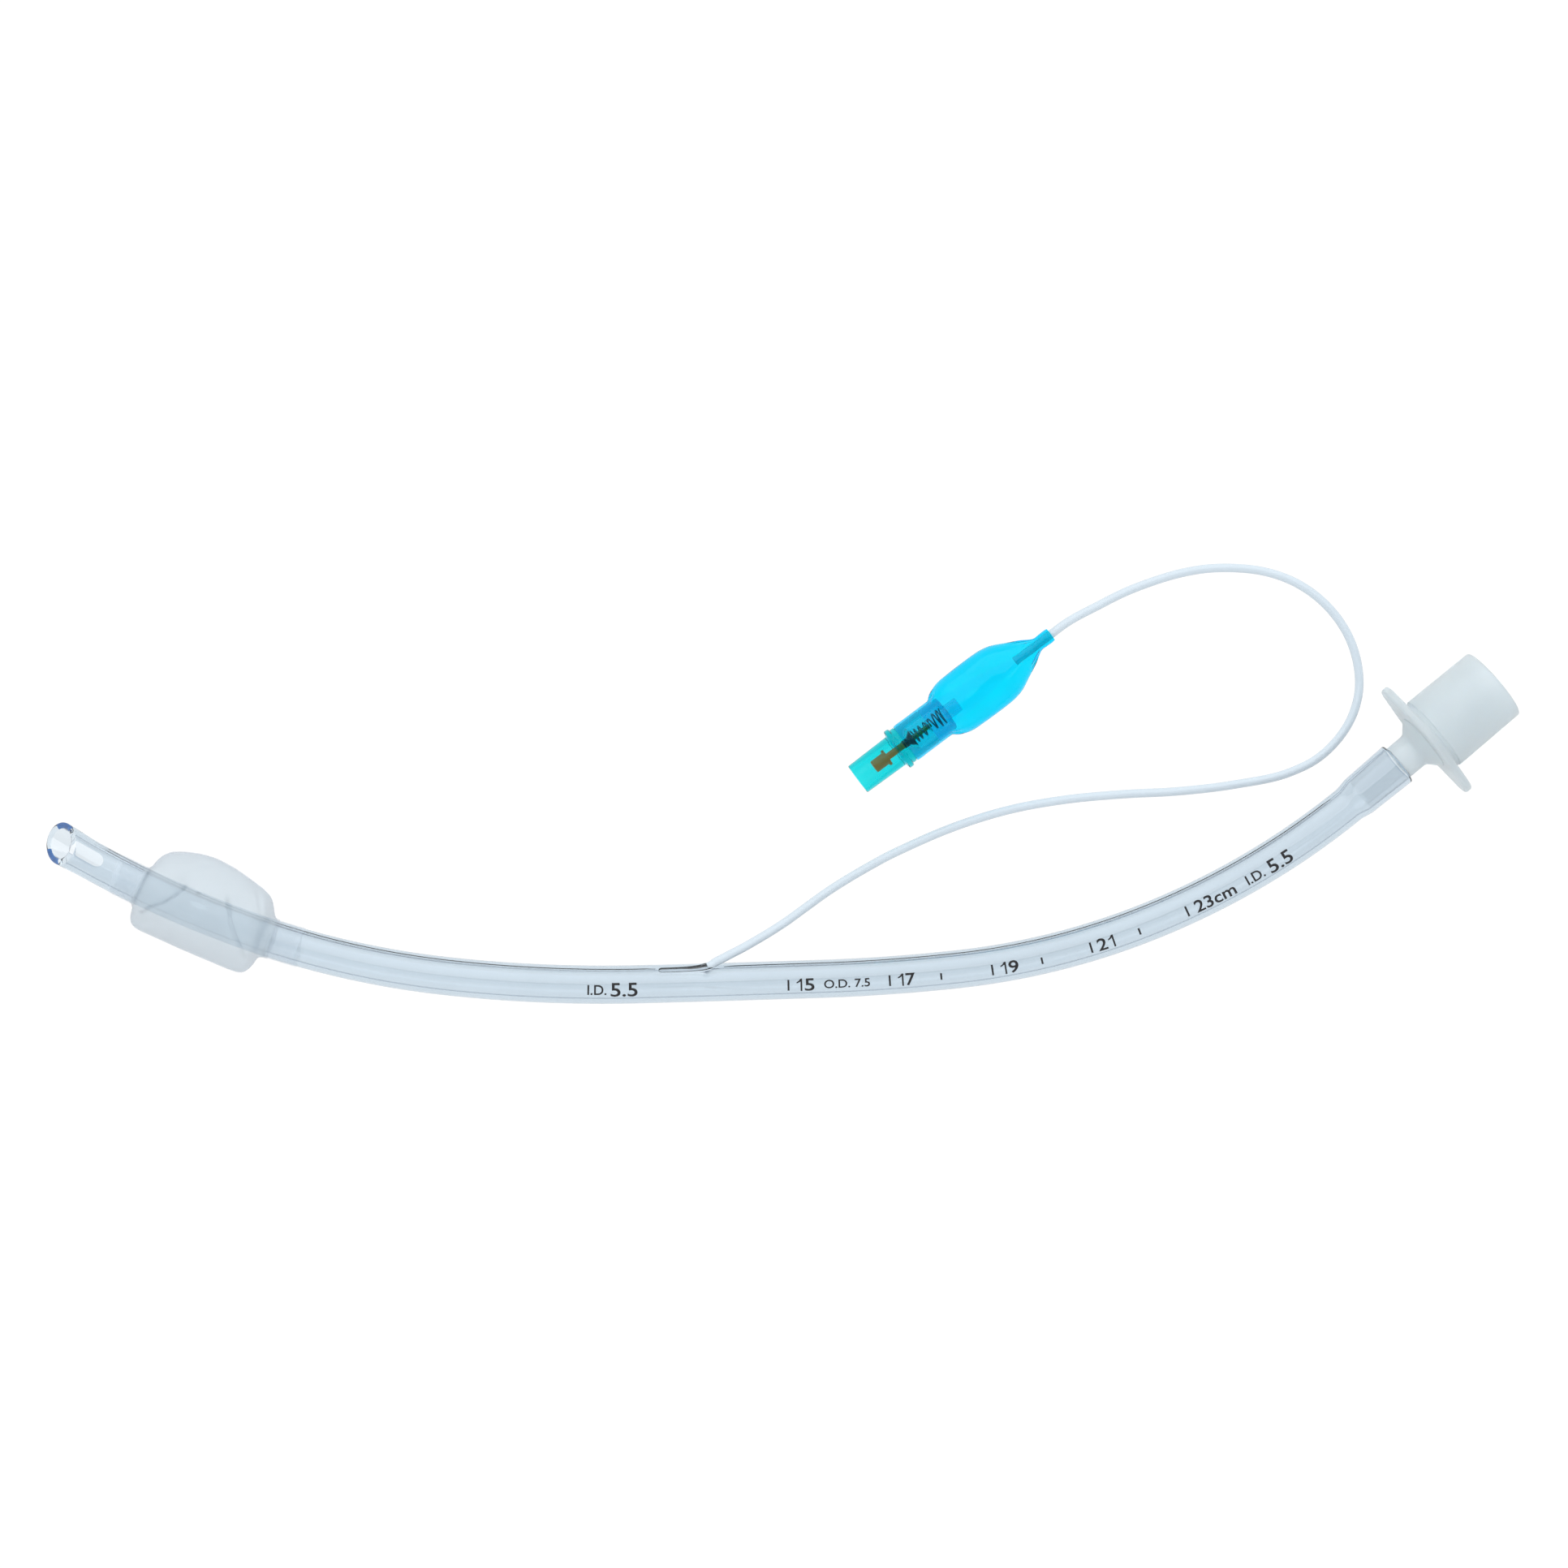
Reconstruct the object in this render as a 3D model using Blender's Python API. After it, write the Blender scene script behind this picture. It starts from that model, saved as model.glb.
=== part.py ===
# A cuffed endotracheal tube with its pilot balloon, lying on a table.
# Everything is in metres. +X runs along the connector's axis, out of its open end, and +Z is up.
# The table is at Z = 0, and the origin is under the middle of the whole object.
# Distances along the airway tube are measured from its tip.

import math

import bmesh
import bpy
from mathutils import Matrix, Vector

# Airway tube
TUBE_BORE = 0.0055
TUBE_OUTSIDE = 0.0075
TUBE_ARC_LENGTHS = (0.0444, 0.0390, 0.0382, 0.0349, 0.0274, 0.0374, 0.0474, 0.0110)
TUBE_TURNS_DEGREES = (12.2, 12.9, 7.8, 0.5, 4.5, 15.5, 18.0, 0.0)
MACHINE_END = (0.0946, -0.07285)
BELLY_FROM_TIP = 0.1686
BELLY_LENGTH = 0.020
TUBE_SIDES = 24
TUBE_STEP = 0.0068

# The tube lies rolled about its axis, more at its middle than at its tip
TIP_ROLL_DEGREES = 8.0
MIDDLE_ROLL_DEGREES = 25.0
ROLL_LENGTH = 0.100

# Tip: the bevel looks up, and the side eye is in the wall below it
BEVEL_DEGREES = 48.0
EYE_LENGTH = 0.0073
EYE_WIDTH = 0.0032
EYE_FROM_TIP = 0.0056

# Inflation channel in the wall, on the inside of the bend, sealed at both ends of the tube
CHANNEL_BORE = 0.0006
CHANNEL_SIDES = 6
CHANNEL_TIP_SEAL = 0.0129
PORT_FROM_TIP = 0.0324
PORT_BORE = 0.0009
NOTCH_FROM_TIP = 0.1350
NOTCH_FLOOR = 0.0002
NOTCH_GAP = 0.00012

# Machine end of the tube, stretched over the connector's spigot
SPIGOT_OUTSIDE = 0.0071
SPIGOT_TIP_OUTSIDE = 0.0065
SPIGOT_BORE = 0.0052
SPIGOT_INSERT = 0.0098
SPIGOT_LEAD = 0.0004
SOCKET_TAPER = 0.0034

# Connector: a 15 mm cone with a winged flange
CONE_MOUTH_OUTSIDE = 0.0154
CONE_ROOT_OUTSIDE = 0.0158
CONE_LENGTH = 0.01625
CONE_MOUTH_BORE = 0.0129
CONE_ROOT_BORE = 0.0121
CONE_LEAD = 0.0004
FLANGE_SPAN = 0.0258
FLANGE_SHORT = 0.0167
FLANGE_WING = 0.0076
FLANGE_THICKNESS = 0.0016
FLANGE_OVERLAP = 0.0006
NECK_LENGTH = 0.0041
FUNNEL_LENGTH = 0.0024
FUNNEL_OUTSIDE = 0.0120
NECK_FILLET = 0.0012
MOUTH_FILLET = 0.0004
BORE_FILLET = 0.0006
FUNNEL_FILLET = 0.0008
CONNECTOR_SIDES = 40

# Cuff: a thin film bonded to the tube by a collar at each end
CUFF_FROM_TIP = 0.02145
CUFF_LENGTH = 0.0268
CUFF_FILM = 0.0002
DISTAL_COLLAR = 0.0054
PROXIMAL_COLLAR = 0.0062
CUFF_PEAK_REACH = 0.0109
CUFF_OUTLINE = (
    # share of the length, then the reach from the tube's axis on the inside and on the outside
    # of the bend, as shares of the peak reach
    (0.015, 0.46, 0.44),
    (0.034, 0.60, 0.60),
    (0.052, 0.69, 0.67),
    (0.090, 0.78, 0.71),
    (0.200, 0.91, 0.725),
    (0.276, 0.956, 0.73),
    (0.425, 1.00, 0.74),
    (0.575, 0.97, 0.75),
    (0.724, 0.883, 0.757),
    (0.800, 0.831, 0.765),
    (0.873, 0.762, 0.76),
    (0.910, 0.711, 0.718),
    (0.948, 0.60, 0.56),
    (0.966, 0.52, 0.45),
)
CUFF_SIDES = 28

# Pilot balloon, along the valve's axis from the valve's mouth
VALVE_MOUTH = (0.0118, -0.0079)
VALVE_HEADING_DEGREES = -2.9
BALLOON_NECK = 0.0085
BALLOON_BODY = 0.0239
BALLOON_LINE_NECK = 0.0033
BALLOON_WIDTH = 0.0121
BALLOON_HEIGHT = 0.0089
BALLOON_FILM = 0.0003
BALLOON_OUTLINE = (
    # share of the body's length, then the width and the height as shares of the largest
    (0.046, 0.80, 0.93),
    (0.088, 0.89, 0.97),
    (0.172, 0.97, 1.00),
    (0.340, 1.00, 1.00),
    (0.506, 1.00, 0.97),
    (0.590, 0.98, 0.94),
    (0.674, 0.905, 0.87),
    (0.757, 0.755, 0.74),
    (0.841, 0.585, 0.58),
    (0.925, 0.40, 0.42),
    (0.967, 0.30, 0.34),
)
BALLOON_SIDES = 28

# Valve housing, a Luer socket with the valve seat behind it
LUER_BORE = 0.0043
LUER_TAPER = 0.06
LUER_DEPTH = 0.0100
BARREL_MOUTH_OUTSIDE = 0.0064
BARREL_ROOT_OUTSIDE = 0.0067
BARREL_LENGTH = 0.0096
LUG_OUTSIDE = 0.0088
LUG_THICKNESS = 0.0010
HOUSING_COLLAR_OUTSIDE = 0.0079
HOUSING_COLLAR_LENGTH = 0.0010
HOUSING_OUTSIDE = 0.0074
HOUSING_IN_BALLOON = 0.0057
HOUSING_EDGE = 0.0002
STEM_HOLE = 0.0021
STEM_HOLE_LENGTH = 0.0022
CHAMBER_BORE = 0.0046
VALVE_SIDES = 28

# Spring retainer behind the housing
RETAINER_LENGTH = 0.0045
RETAINER_BORE = 0.0040
RETAINER_FLOOR = 0.0006
RETAINER_HOLE = 0.0016
RETAINER_SPIGOT = 0.0029
RETAINER_SPIGOT_LENGTH = 0.0028
RETAINER_FILLET = 0.0005

# Valve stem, its seal and its spring
STEM_TRAVEL = 0.0018
HEAD_FROM_MOUTH = 0.0041
HEAD_LENGTH = 0.0034
HEAD_OUTSIDE = 0.0026
HEAD_FILLET = 0.0002
EAR_SPAN = 0.0034
EAR_THICKNESS = 0.0006
STEM_OUTSIDE = 0.0014
GUIDE_OUTSIDE = 0.0011
GUIDE_CLEARANCE = 0.0015
SEAL_OUTSIDE = 0.0036
SEAL_NOSE_OUTSIDE = 0.0017
SEAL_NOSE_LENGTH = 0.0009
SEAL_RIM = 0.0005
SEAT_GAP = 0.00008
SPRING_WIRE = 0.00032
SPRING_OUTSIDE = 0.0028
SPRING_END_OUTSIDE = 0.0036
SPRING_TURNS = 7
SPRING_GAP = 0.0001

# Inflation line: the route's points are chosen by hand, with the bottom of the line on the table
LINE_OUTSIDE = 0.0017
LINE_EXIT_DEGREES = 26.4
LINE_INSERT = 0.0055
LINE_STEP = 0.0046
LINE_ROUTE = (
    (-0.02850, -0.01845, 0.00560),
    (-0.02430, -0.01935, 0.00430),
    (-0.01990, -0.01995, 0.00300),
    (-0.01540, -0.02055, 0.00190),
    (-0.01060, -0.02075, 0.00120),
    (-0.00600, -0.02120, 0.00095),
    (-0.00100, -0.02195, 0.00090),
    (0.01000, -0.02415, 0.00090),
    (0.02070, -0.02735, 0.00090),
    (0.03100, -0.03165, 0.00090),
    (0.04070, -0.03715, 0.00090),
    (0.04990, -0.04345, 0.00090),
    (0.05890, -0.05015, 0.00090),
    (0.06830, -0.05625, 0.00090),
    (0.07820, -0.06135, 0.00090),
    (0.08350, -0.06265, 0.00090),
    (0.08910, -0.06245, 0.00090),
    (0.09450, -0.06075, 0.00090),
    (0.09890, -0.05765, 0.00090),
    (0.10220, -0.05315, 0.00090),
    (0.10420, -0.04795, 0.00090),
    (0.10480, -0.04265, 0.00090),
    (0.10420, -0.03735, 0.00090),
    (0.10240, -0.03225, 0.00090),
    (0.09950, -0.02765, 0.00090),
    (0.09560, -0.02355, 0.00090),
    (0.09120, -0.02005, 0.00090),
    (0.08630, -0.01725, 0.00090),
    (0.08110, -0.01505, 0.00095),
    (0.07570, -0.01325, 0.00150),
    (0.07010, -0.01195, 0.00260),
)

# Clearance between pieces that are bonded or pressed together
BOND_GAP = 0.0001

# Worked out from the sizes above
TUBE_LENGTH = sum(TUBE_ARC_LENGTHS)
TUBE_RADIUS = TUBE_OUTSIDE / 2
WALL_AREA = TUBE_RADIUS**2 - (TUBE_BORE / 2) ** 2
WALL_MIDDLE = (TUBE_BORE + TUBE_OUTSIDE) / 4
COLLAR_RADIUS = TUBE_RADIUS + BOND_GAP + CUFF_FILM
CUFF_HALF_HEIGHT = CUFF_PEAK_REACH * max(inside + outside for _, inside, outside in CUFF_OUTLINE) / 2
CONNECTOR_HEIGHT = FLANGE_SHORT / 2
FLANGE_BACK = NECK_LENGTH + FUNNEL_LENGTH
FLANGE_FRONT = FLANGE_BACK + FLANGE_THICKNESS
CONE_MOUTH = FLANGE_FRONT + CONE_LENGTH
SOCKET_START = TUBE_LENGTH - SPIGOT_INSERT + SPIGOT_LEAD
LUG_BACK = BARREL_LENGTH + LUG_THICKNESS
BALLOON_FROM_MOUTH = LUG_BACK + HOUSING_COLLAR_LENGTH
HOUSING_END = BALLOON_FROM_MOUTH + HOUSING_IN_BALLOON
SEAT_FROM_MOUTH = LUER_DEPTH + STEM_HOLE_LENGTH
VALVE_HEIGHT = max(BALLOON_HEIGHT, LUG_OUTSIDE) / 2
BALLOON_END = BALLOON_FROM_MOUTH + BALLOON_NECK + BALLOON_BODY
LINE_NECK_END = BALLOON_END + BALLOON_LINE_NECK
RETAINER_START = HOUSING_END + BOND_GAP
RETAINER_END = RETAINER_START + RETAINER_LENGTH
HEAD_END = HEAD_FROM_MOUTH + HEAD_LENGTH
SEAL_FACE = SEAT_FROM_MOUTH - (STEM_HOLE - SEAL_NOSE_OUTSIDE) / 2 + SEAT_GAP * math.sqrt(2)
SEAL_BACK = SEAL_FACE + (SEAL_OUTSIDE - SEAL_NOSE_OUTSIDE) / 2 + SEAL_RIM


def clear_scene():
    for old in list(bpy.data.objects):
        bpy.data.objects.remove(old, do_unlink=True)


def plastic(name, color, roughness, alpha=1.0, metallic=0.0):
    material = bpy.data.materials.new(name)
    material.use_nodes = True
    shader = material.node_tree.nodes["Principled BSDF"]
    shader.inputs["Base Color"].default_value = (*color, 1.0)
    shader.inputs["Roughness"].default_value = roughness
    shader.inputs["Metallic"].default_value = metallic
    shader.inputs["Alpha"].default_value = alpha
    return material


def add_object(name, shape, material=None, parent=None, crease_degrees=35.0):
    """Makes an object of a bmesh, shaded smooth up to the crease angle."""
    bmesh.ops.recalc_face_normals(shape, faces=shape.faces)
    mesh = bpy.data.meshes.new(name)
    shape.to_mesh(mesh)
    shape.free()
    mesh.shade_smooth()
    mesh.set_sharp_from_angle(angle=math.radians(crease_degrees))
    made = bpy.data.objects.new(name, mesh)
    bpy.context.scene.collection.objects.link(made)
    if material:
        mesh.materials.append(material)
    made.parent = parent
    return made


def add_empty(name, place, turn_degrees=0.0):
    made = bpy.data.objects.new(name, None)
    bpy.context.scene.collection.objects.link(made)
    made.location = place
    made.rotation_euler = (0.0, 0.0, math.radians(turn_degrees))
    return made


def combine(target, other, operation):
    """Cuts or joins another object, which is then only a guide."""
    other.hide_render = True
    other.display_type = "WIRE"
    modifier = target.modifiers.new(other.name, "BOOLEAN")
    modifier.operation = operation
    modifier.object = other
    modifier.solver = "EXACT"


def ring(half_width, half_height, sides, centre=0.0):
    """Points of an ellipse across the axis, as sideways and upward offsets."""
    angles = [2 * math.pi * side / sides for side in range(sides)]
    return [(centre + half_width * math.cos(a), half_height * math.sin(a)) for a in angles]


def circle(radius, sides, centre=0.0):
    return ring(radius, radius, sides, centre)


def loft(rings, closed=False):
    """Skins a row of rings, capped at both ends or, when closed, from the last ring to the first."""
    shape = bmesh.new()
    loops = [[shape.verts.new(point) for point in points] for points in rings]
    pairs = list(zip(loops, loops[1:] + loops[:1])) if closed else list(zip(loops, loops[1:]))
    for first, second in pairs:
        for a in range(len(first)):
            b = (a + 1) % len(first)
            shape.faces.new((first[a], first[b], second[b], second[a]))
    if not closed:
        shape.faces.new(loops[0])
        shape.faces.new(loops[-1])
    return shape


def turned(profile, sides, closed=True):
    """Spins a profile of stations and radii about the X axis. An open profile starts and ends on it."""
    shape = bmesh.new()
    points = [shape.verts.new((x, radius, 0.0)) for x, radius in profile]
    ends = points[1:] + points[:1] if closed else points[1:]
    edges = [shape.edges.new(pair) for pair in zip(points, ends)]
    bmesh.ops.spin(
        shape,
        geom=points + edges,
        cent=(0.0, 0.0, 0.0),
        axis=(1.0, 0.0, 0.0),
        angle=2 * math.pi,
        steps=sides,
    )
    bmesh.ops.remove_doubles(shape, verts=shape.verts, dist=1e-6)
    return shape


def fillet(before, corner, after, radius, steps=3):
    """Points of the arc that rounds one corner of a profile."""
    before, corner, after = Vector(before), Vector(corner), Vector(after)
    back = (before - corner).normalized()
    ahead = (after - corner).normalized()
    half = back.angle(ahead) / 2
    centre = corner + (back + ahead).normalized() * radius / math.sin(half)
    start = (corner + back * radius / math.tan(half) - centre).normalized()
    end = (corner + ahead * radius / math.tan(half) - centre).normalized()
    return [tuple(centre + start.slerp(end, step / steps) * radius) for step in range(steps + 1)]


def arc_end(place, heading, length, turn):
    """Where an arc ends that leaves a place along a heading. Negative values run it backwards."""
    if abs(turn) < 1e-9:
        return place + length * Vector((math.cos(heading), math.sin(heading)))
    end = heading + turn
    chord = Vector((math.sin(end) - math.sin(heading), math.cos(heading) - math.cos(end)))
    return place + chord * length / turn


def tube_arcs():
    """Start, place, heading and turn per metre of each arc, worked back from the machine end."""
    place = Vector(MACHINE_END)
    heading = 0.0
    start = TUBE_LENGTH
    arcs = []
    for length, degrees in zip(reversed(TUBE_ARC_LENGTHS), reversed(TUBE_TURNS_DEGREES)):
        turn = math.radians(degrees)
        place = arc_end(place, heading, -length, -turn)
        heading -= turn
        start -= length
        arcs.append((start, place, heading, turn / length))
    return arcs[::-1]


ARCS = tube_arcs()


def ease(share):
    share = min(max(share, 0.0), 1.0)
    return share * share * (3 - 2 * share)


def axis_height(distance):
    """The tube lies on its cuff, its belly and the connector's flange."""
    cuff_end = CUFF_FROM_TIP + CUFF_LENGTH
    straight = TUBE_LENGTH - TUBE_ARC_LENGTHS[-1]
    belly_end = BELLY_FROM_TIP + BELLY_LENGTH
    fall = ease((distance - cuff_end) / (BELLY_FROM_TIP - cuff_end))
    rise = ease((distance - belly_end) / (straight - belly_end))
    down = (CUFF_HALF_HEIGHT - TUBE_RADIUS) * (1 - fall)
    return TUBE_RADIUS + down + (CONNECTOR_HEIGHT - TUBE_RADIUS) * rise


def station(distance):
    """The frame across the tube at a distance: X along it, Y to the inside of the bend, Z up."""
    start, place, heading, bend = [arc for arc in ARCS if arc[0] <= distance or arc is ARCS[0]][-1]
    length = distance - start
    place = arc_end(place, heading, length, bend * length)
    heading += bend * length
    step = 1e-4
    slope = (axis_height(distance + step) - axis_height(distance - step)) / (2 * step)
    along = Vector((math.cos(heading), math.sin(heading), slope)).normalized()
    side = Vector((-math.sin(heading), math.cos(heading), 0.0))
    turn = Matrix((along, side, along.cross(side))).transposed().to_4x4()
    return Matrix.Translation((*place, axis_height(distance))) @ turn


def rolled(distance):
    """The same frame turned with the tube's roll, so that Y points at the channel."""
    share = min(max(distance / ROLL_LENGTH, 0.0), 1.0)
    roll = TIP_ROLL_DEGREES + (MIDDLE_ROLL_DEGREES - TIP_ROLL_DEGREES) * share
    return station(distance) @ Matrix.Rotation(math.radians(roll), 4, "X")


def across(distance, offsets):
    """A ring of sideways and upward offsets, placed at a distance along the tube."""
    frame = station(distance)
    return [frame @ Vector((0.0, side, up)) for side, up in offsets]


def bore_radius(distance):
    """The bore widens to the spigot's tip, and then grows with the spigot."""
    over = ease((distance - SOCKET_START + SOCKET_TAPER) / SOCKET_TAPER)
    along = max((distance - SOCKET_START) / (TUBE_LENGTH - SOCKET_START), 0.0)
    spigot = SPIGOT_TIP_OUTSIDE + (SPIGOT_OUTSIDE - SPIGOT_TIP_OUTSIDE) * along
    plain = TUBE_BORE / 2
    return plain + (spigot / 2 + BOND_GAP - plain) * over


def outside_radius(distance):
    """The wall keeps its area where it is stretched."""
    return math.sqrt(WALL_AREA + bore_radius(distance) ** 2)


def tube_distances(start, end):
    """Where the tube's rings lie: evenly, and closer at the stretched end."""
    even = [start + TUBE_STEP * step for step in range(math.ceil((end - start) / TUBE_STEP))]
    taper = [SOCKET_START - SOCKET_TAPER * share for share in (1.0, 0.75, 0.5, 0.25, 0.0)]
    plain = [d for d in even if d < taper[0] - TUBE_STEP / 3]
    return plain + taper + [end]


def capsule(length, width, steps=6):
    """Outline of a slot with round ends, centred on the origin."""
    radius = width / 2
    reach = length / 2 - radius
    angles = [math.pi * (step / steps - 0.5) for step in range(steps + 1)]
    front = [(reach + radius * math.cos(a), radius * math.sin(a)) for a in angles]
    return front + [(-x, -y) for x, y in front]


def tip_cutter():
    """A block over the plane that bevels the tip, from the lower wall up and back."""
    size = 4 * TUBE_OUTSIDE
    shape = bmesh.new()
    bmesh.ops.create_cube(shape, size=size)
    bevel_middle = TUBE_RADIUS / math.tan(math.radians(BEVEL_DEGREES))
    lean = Matrix.Rotation(-math.radians(BEVEL_DEGREES), 4, "Y")
    place = rolled(bevel_middle) @ lean @ Matrix.Translation((0.0, 0.0, size / 2))
    bmesh.ops.transform(shape, matrix=place, verts=shape.verts)
    return add_object("tip_cutter", shape)


def eye_cutter():
    """A slot through the lower wall only."""
    outline = capsule(EYE_LENGTH, EYE_WIDTH)
    frame = rolled(EYE_FROM_TIP + EYE_LENGTH / 2)
    levels = (-TUBE_OUTSIDE, 0.0)
    rings = [[frame @ Vector((x, y, z)) for x, y in outline] for z in levels]
    return add_object("eye_cutter", loft(rings))


def port_cutter():
    """A hole under the cuff, from the channel out through the wall."""
    frame = rolled(PORT_FROM_TIP)
    levels = (WALL_MIDDLE, TUBE_OUTSIDE)
    offsets = circle(PORT_BORE / 2, 10)
    rings = [[frame @ Vector((x, y, z)) for x, z in offsets] for y in levels]
    return add_object("port_cutter", loft(rings))


def line_exit():
    """The frame of the line's end in its notch: X points out along the line."""
    lean = math.radians(LINE_EXIT_DEGREES)
    pocket_radius = LINE_OUTSIDE / 2 + NOTCH_GAP
    floor = TUBE_BORE / 2 + NOTCH_FLOOR + pocket_radius * math.cos(lean)
    at = rolled(NOTCH_FROM_TIP) @ Vector((0.0, floor, 0.0))
    turn = station(NOTCH_FROM_TIP).to_3x3().to_4x4() @ Matrix.Rotation(lean, 4, "Z")
    return Matrix.Translation(at) @ turn @ Matrix.Translation((NOTCH_GAP, 0.0, 0.0))


def notch_cutter():
    """A round pocket along the line, which opens the channel but not the bore."""
    frame = line_exit()
    offsets = circle(LINE_OUTSIDE / 2 + NOTCH_GAP, 16)
    stations = (-NOTCH_GAP, TUBE_OUTSIDE)
    rings = [[frame @ Vector((x, y, z)) for y, z in offsets] for x in stations]
    return add_object("notch_cutter", loft(rings))


def airway_tube():
    overrun = 2 * TUBE_STEP

    def outside(distance):
        return across(distance, circle(outside_radius(distance), TUBE_SIDES))

    def bore(distance):
        return across(distance, circle(bore_radius(distance), TUBE_SIDES))

    def channel(distance):
        frame = rolled(distance)
        offsets = circle(CHANNEL_BORE / 2, CHANNEL_SIDES, WALL_MIDDLE)
        return [frame @ Vector((0.0, side, up)) for side, up in offsets]

    whole = tube_distances(0.0, TUBE_LENGTH)
    longer = tube_distances(-overrun, TUBE_LENGTH + overrun)
    sealed = [d for d in whole if CHANNEL_TIP_SEAL < d < SOCKET_START - SOCKET_TAPER]
    vinyl = plastic("clear vinyl", (0.62, 0.74, 0.84), 0.15, 0.45)
    tube = add_object("airway_tube", loft([outside(d) for d in whole]), vinyl)
    cutters = (
        add_object("bore_cutter", loft([bore(d) for d in longer])),
        add_object("channel_cutter", loft([channel(d) for d in sealed])),
        tip_cutter(),
        eye_cutter(),
        port_cutter(),
        notch_cutter(),
    )
    for cutter in cutters:
        combine(tube, cutter, "DIFFERENCE")


def cuff():
    """The film's outer skin from end to end, then its inner skin back again."""

    def section(distance, inside, outside, inset):
        half = (inside + outside) / 2
        offsets = ring(half - inset, half - inset, CUFF_SIDES, (inside - outside) / 2)
        return across(distance, offsets)

    near = CUFF_FROM_TIP
    far = CUFF_FROM_TIP + CUFF_LENGTH
    distal = [(d, COLLAR_RADIUS, COLLAR_RADIUS) for d in (near - DISTAL_COLLAR, near)]
    proximal = [(d, COLLAR_RADIUS, COLLAR_RADIUS) for d in (far, far + PROXIMAL_COLLAR)]
    body = [
        (near + share * CUFF_LENGTH, inside * CUFF_PEAK_REACH, outside * CUFF_PEAK_REACH)
        for share, inside, outside in CUFF_OUTLINE
    ]
    stations = distal + body + proximal
    skins = [section(*row, 0.0) for row in stations]
    skins += [section(*row, CUFF_FILM) for row in reversed(stations)]
    film = plastic("cuff film", (0.80, 0.86, 0.90), 0.30, 0.40)
    add_object("cuff", loft(skins, closed=True), film)


def flange_outline():
    """A round middle with a smaller round wing on each side and straight edges between them."""
    middle = FLANGE_SHORT / 2
    wing = FLANGE_WING / 2
    reach = FLANGE_SPAN / 2 - wing
    meet = math.acos((middle - wing) / reach)
    wing_angles = [meet * step / 4 for step in range(5)]
    middle_angles = [meet + (math.pi / 2 - meet) * step / 3 for step in range(4)]
    quarter = [Vector((reach + wing * math.cos(a), wing * math.sin(a))) for a in wing_angles]
    rest = [Vector((middle * math.cos(a), middle * math.sin(a))) for a in middle_angles]
    quarter += [quarter[-1].lerp(rest[0], share) for share in (1 / 3, 2 / 3)] + rest
    half = quarter + [Vector((-p.x, p.y)) for p in reversed(quarter[:-1])]
    return half + [-p for p in half[1:-1]]


def flange_plate():
    """The winged flange, with a flared hole inside the connector's wall."""
    outline = flange_outline()
    angles = [math.atan2(up, side) for side, up in outline]
    edge = FLANGE_THICKNESS * 0.3

    def level(x, inset):
        slimmer = 1 - 2 * inset / FLANGE_SPAN
        shorter = 1 - 2 * inset / FLANGE_SHORT
        return [Vector((x, y * slimmer, z * shorter)) for y, z in outline]

    def hole(x, radius):
        return [Vector((x, radius * math.cos(a), radius * math.sin(a))) for a in angles]

    levels = [
        level(FLANGE_BACK, edge),
        level(FLANGE_BACK + edge * 0.3, edge * 0.3),
        level(FLANGE_BACK + edge, 0.0),
        level(FLANGE_FRONT - edge, 0.0),
        level(FLANGE_FRONT - edge * 0.3, edge * 0.3),
        level(FLANGE_FRONT, edge),
        hole(FLANGE_FRONT, (CONE_ROOT_OUTSIDE + CONE_ROOT_BORE) / 4),
        hole(FLANGE_BACK, FUNNEL_OUTSIDE / 2 - FLANGE_OVERLAP),
    ]
    return add_object("flange_plate", loft(levels, closed=True))


def connector():
    neck = SPIGOT_OUTSIDE / 2
    bore = SPIGOT_BORE / 2
    funnel = FUNNEL_OUTSIDE / 2
    cone_root = CONE_ROOT_OUTSIDE / 2
    cone_mouth = CONE_MOUTH_OUTSIDE / 2
    inner_root = CONE_ROOT_BORE / 2
    inner_mouth = CONE_MOUTH_BORE / 2
    floor = FLANGE_BACK + FLANGE_THICKNESS * 0.8
    wall = neck - bore
    neck_corner = (NECK_LENGTH, neck)
    inside_flange = FLANGE_BACK + FLANGE_THICKNESS * 0.3
    funnel_top = (FLANGE_BACK, funnel)
    rim = (CONE_MOUTH, cone_mouth)
    lead = -SPIGOT_INSERT + SPIGOT_LEAD
    outer = [(-SPIGOT_INSERT, bore + wall / 2), (lead, SPIGOT_TIP_OUTSIDE / 2), (0.0, neck)]
    outer += fillet((0.0, neck), neck_corner, funnel_top, NECK_FILLET)
    outer += [funnel_top, (inside_flange, funnel), (inside_flange, cone_root)]
    outer += fillet((FLANGE_FRONT, cone_root), rim, (CONE_MOUTH, inner_mouth), MOUTH_FILLET)
    inner = [(CONE_MOUTH, inner_mouth + CONE_LEAD / 2), (CONE_MOUTH - CONE_LEAD, inner_mouth)]
    funnel_rim = (floor - wall, funnel - wall)
    funnel_foot = (NECK_LENGTH - wall / 2, bore)
    inner += fillet((CONE_MOUTH, inner_mouth), (floor, inner_root), funnel_rim, BORE_FILLET)
    inner += fillet(funnel_rim, funnel_foot, (0.0, bore), FUNNEL_FILLET)
    inner += [(-SPIGOT_INSERT, bore)]
    place = add_empty("connector_place", (*MACHINE_END, CONNECTOR_HEIGHT))
    milky = plastic("milky plastic", (0.80, 0.84, 0.88), 0.35)
    made = add_object("connector", turned(outer + inner, CONNECTOR_SIDES), milky, place)
    plate = flange_plate()
    plate.parent = place
    combine(made, plate, "UNION")


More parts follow.
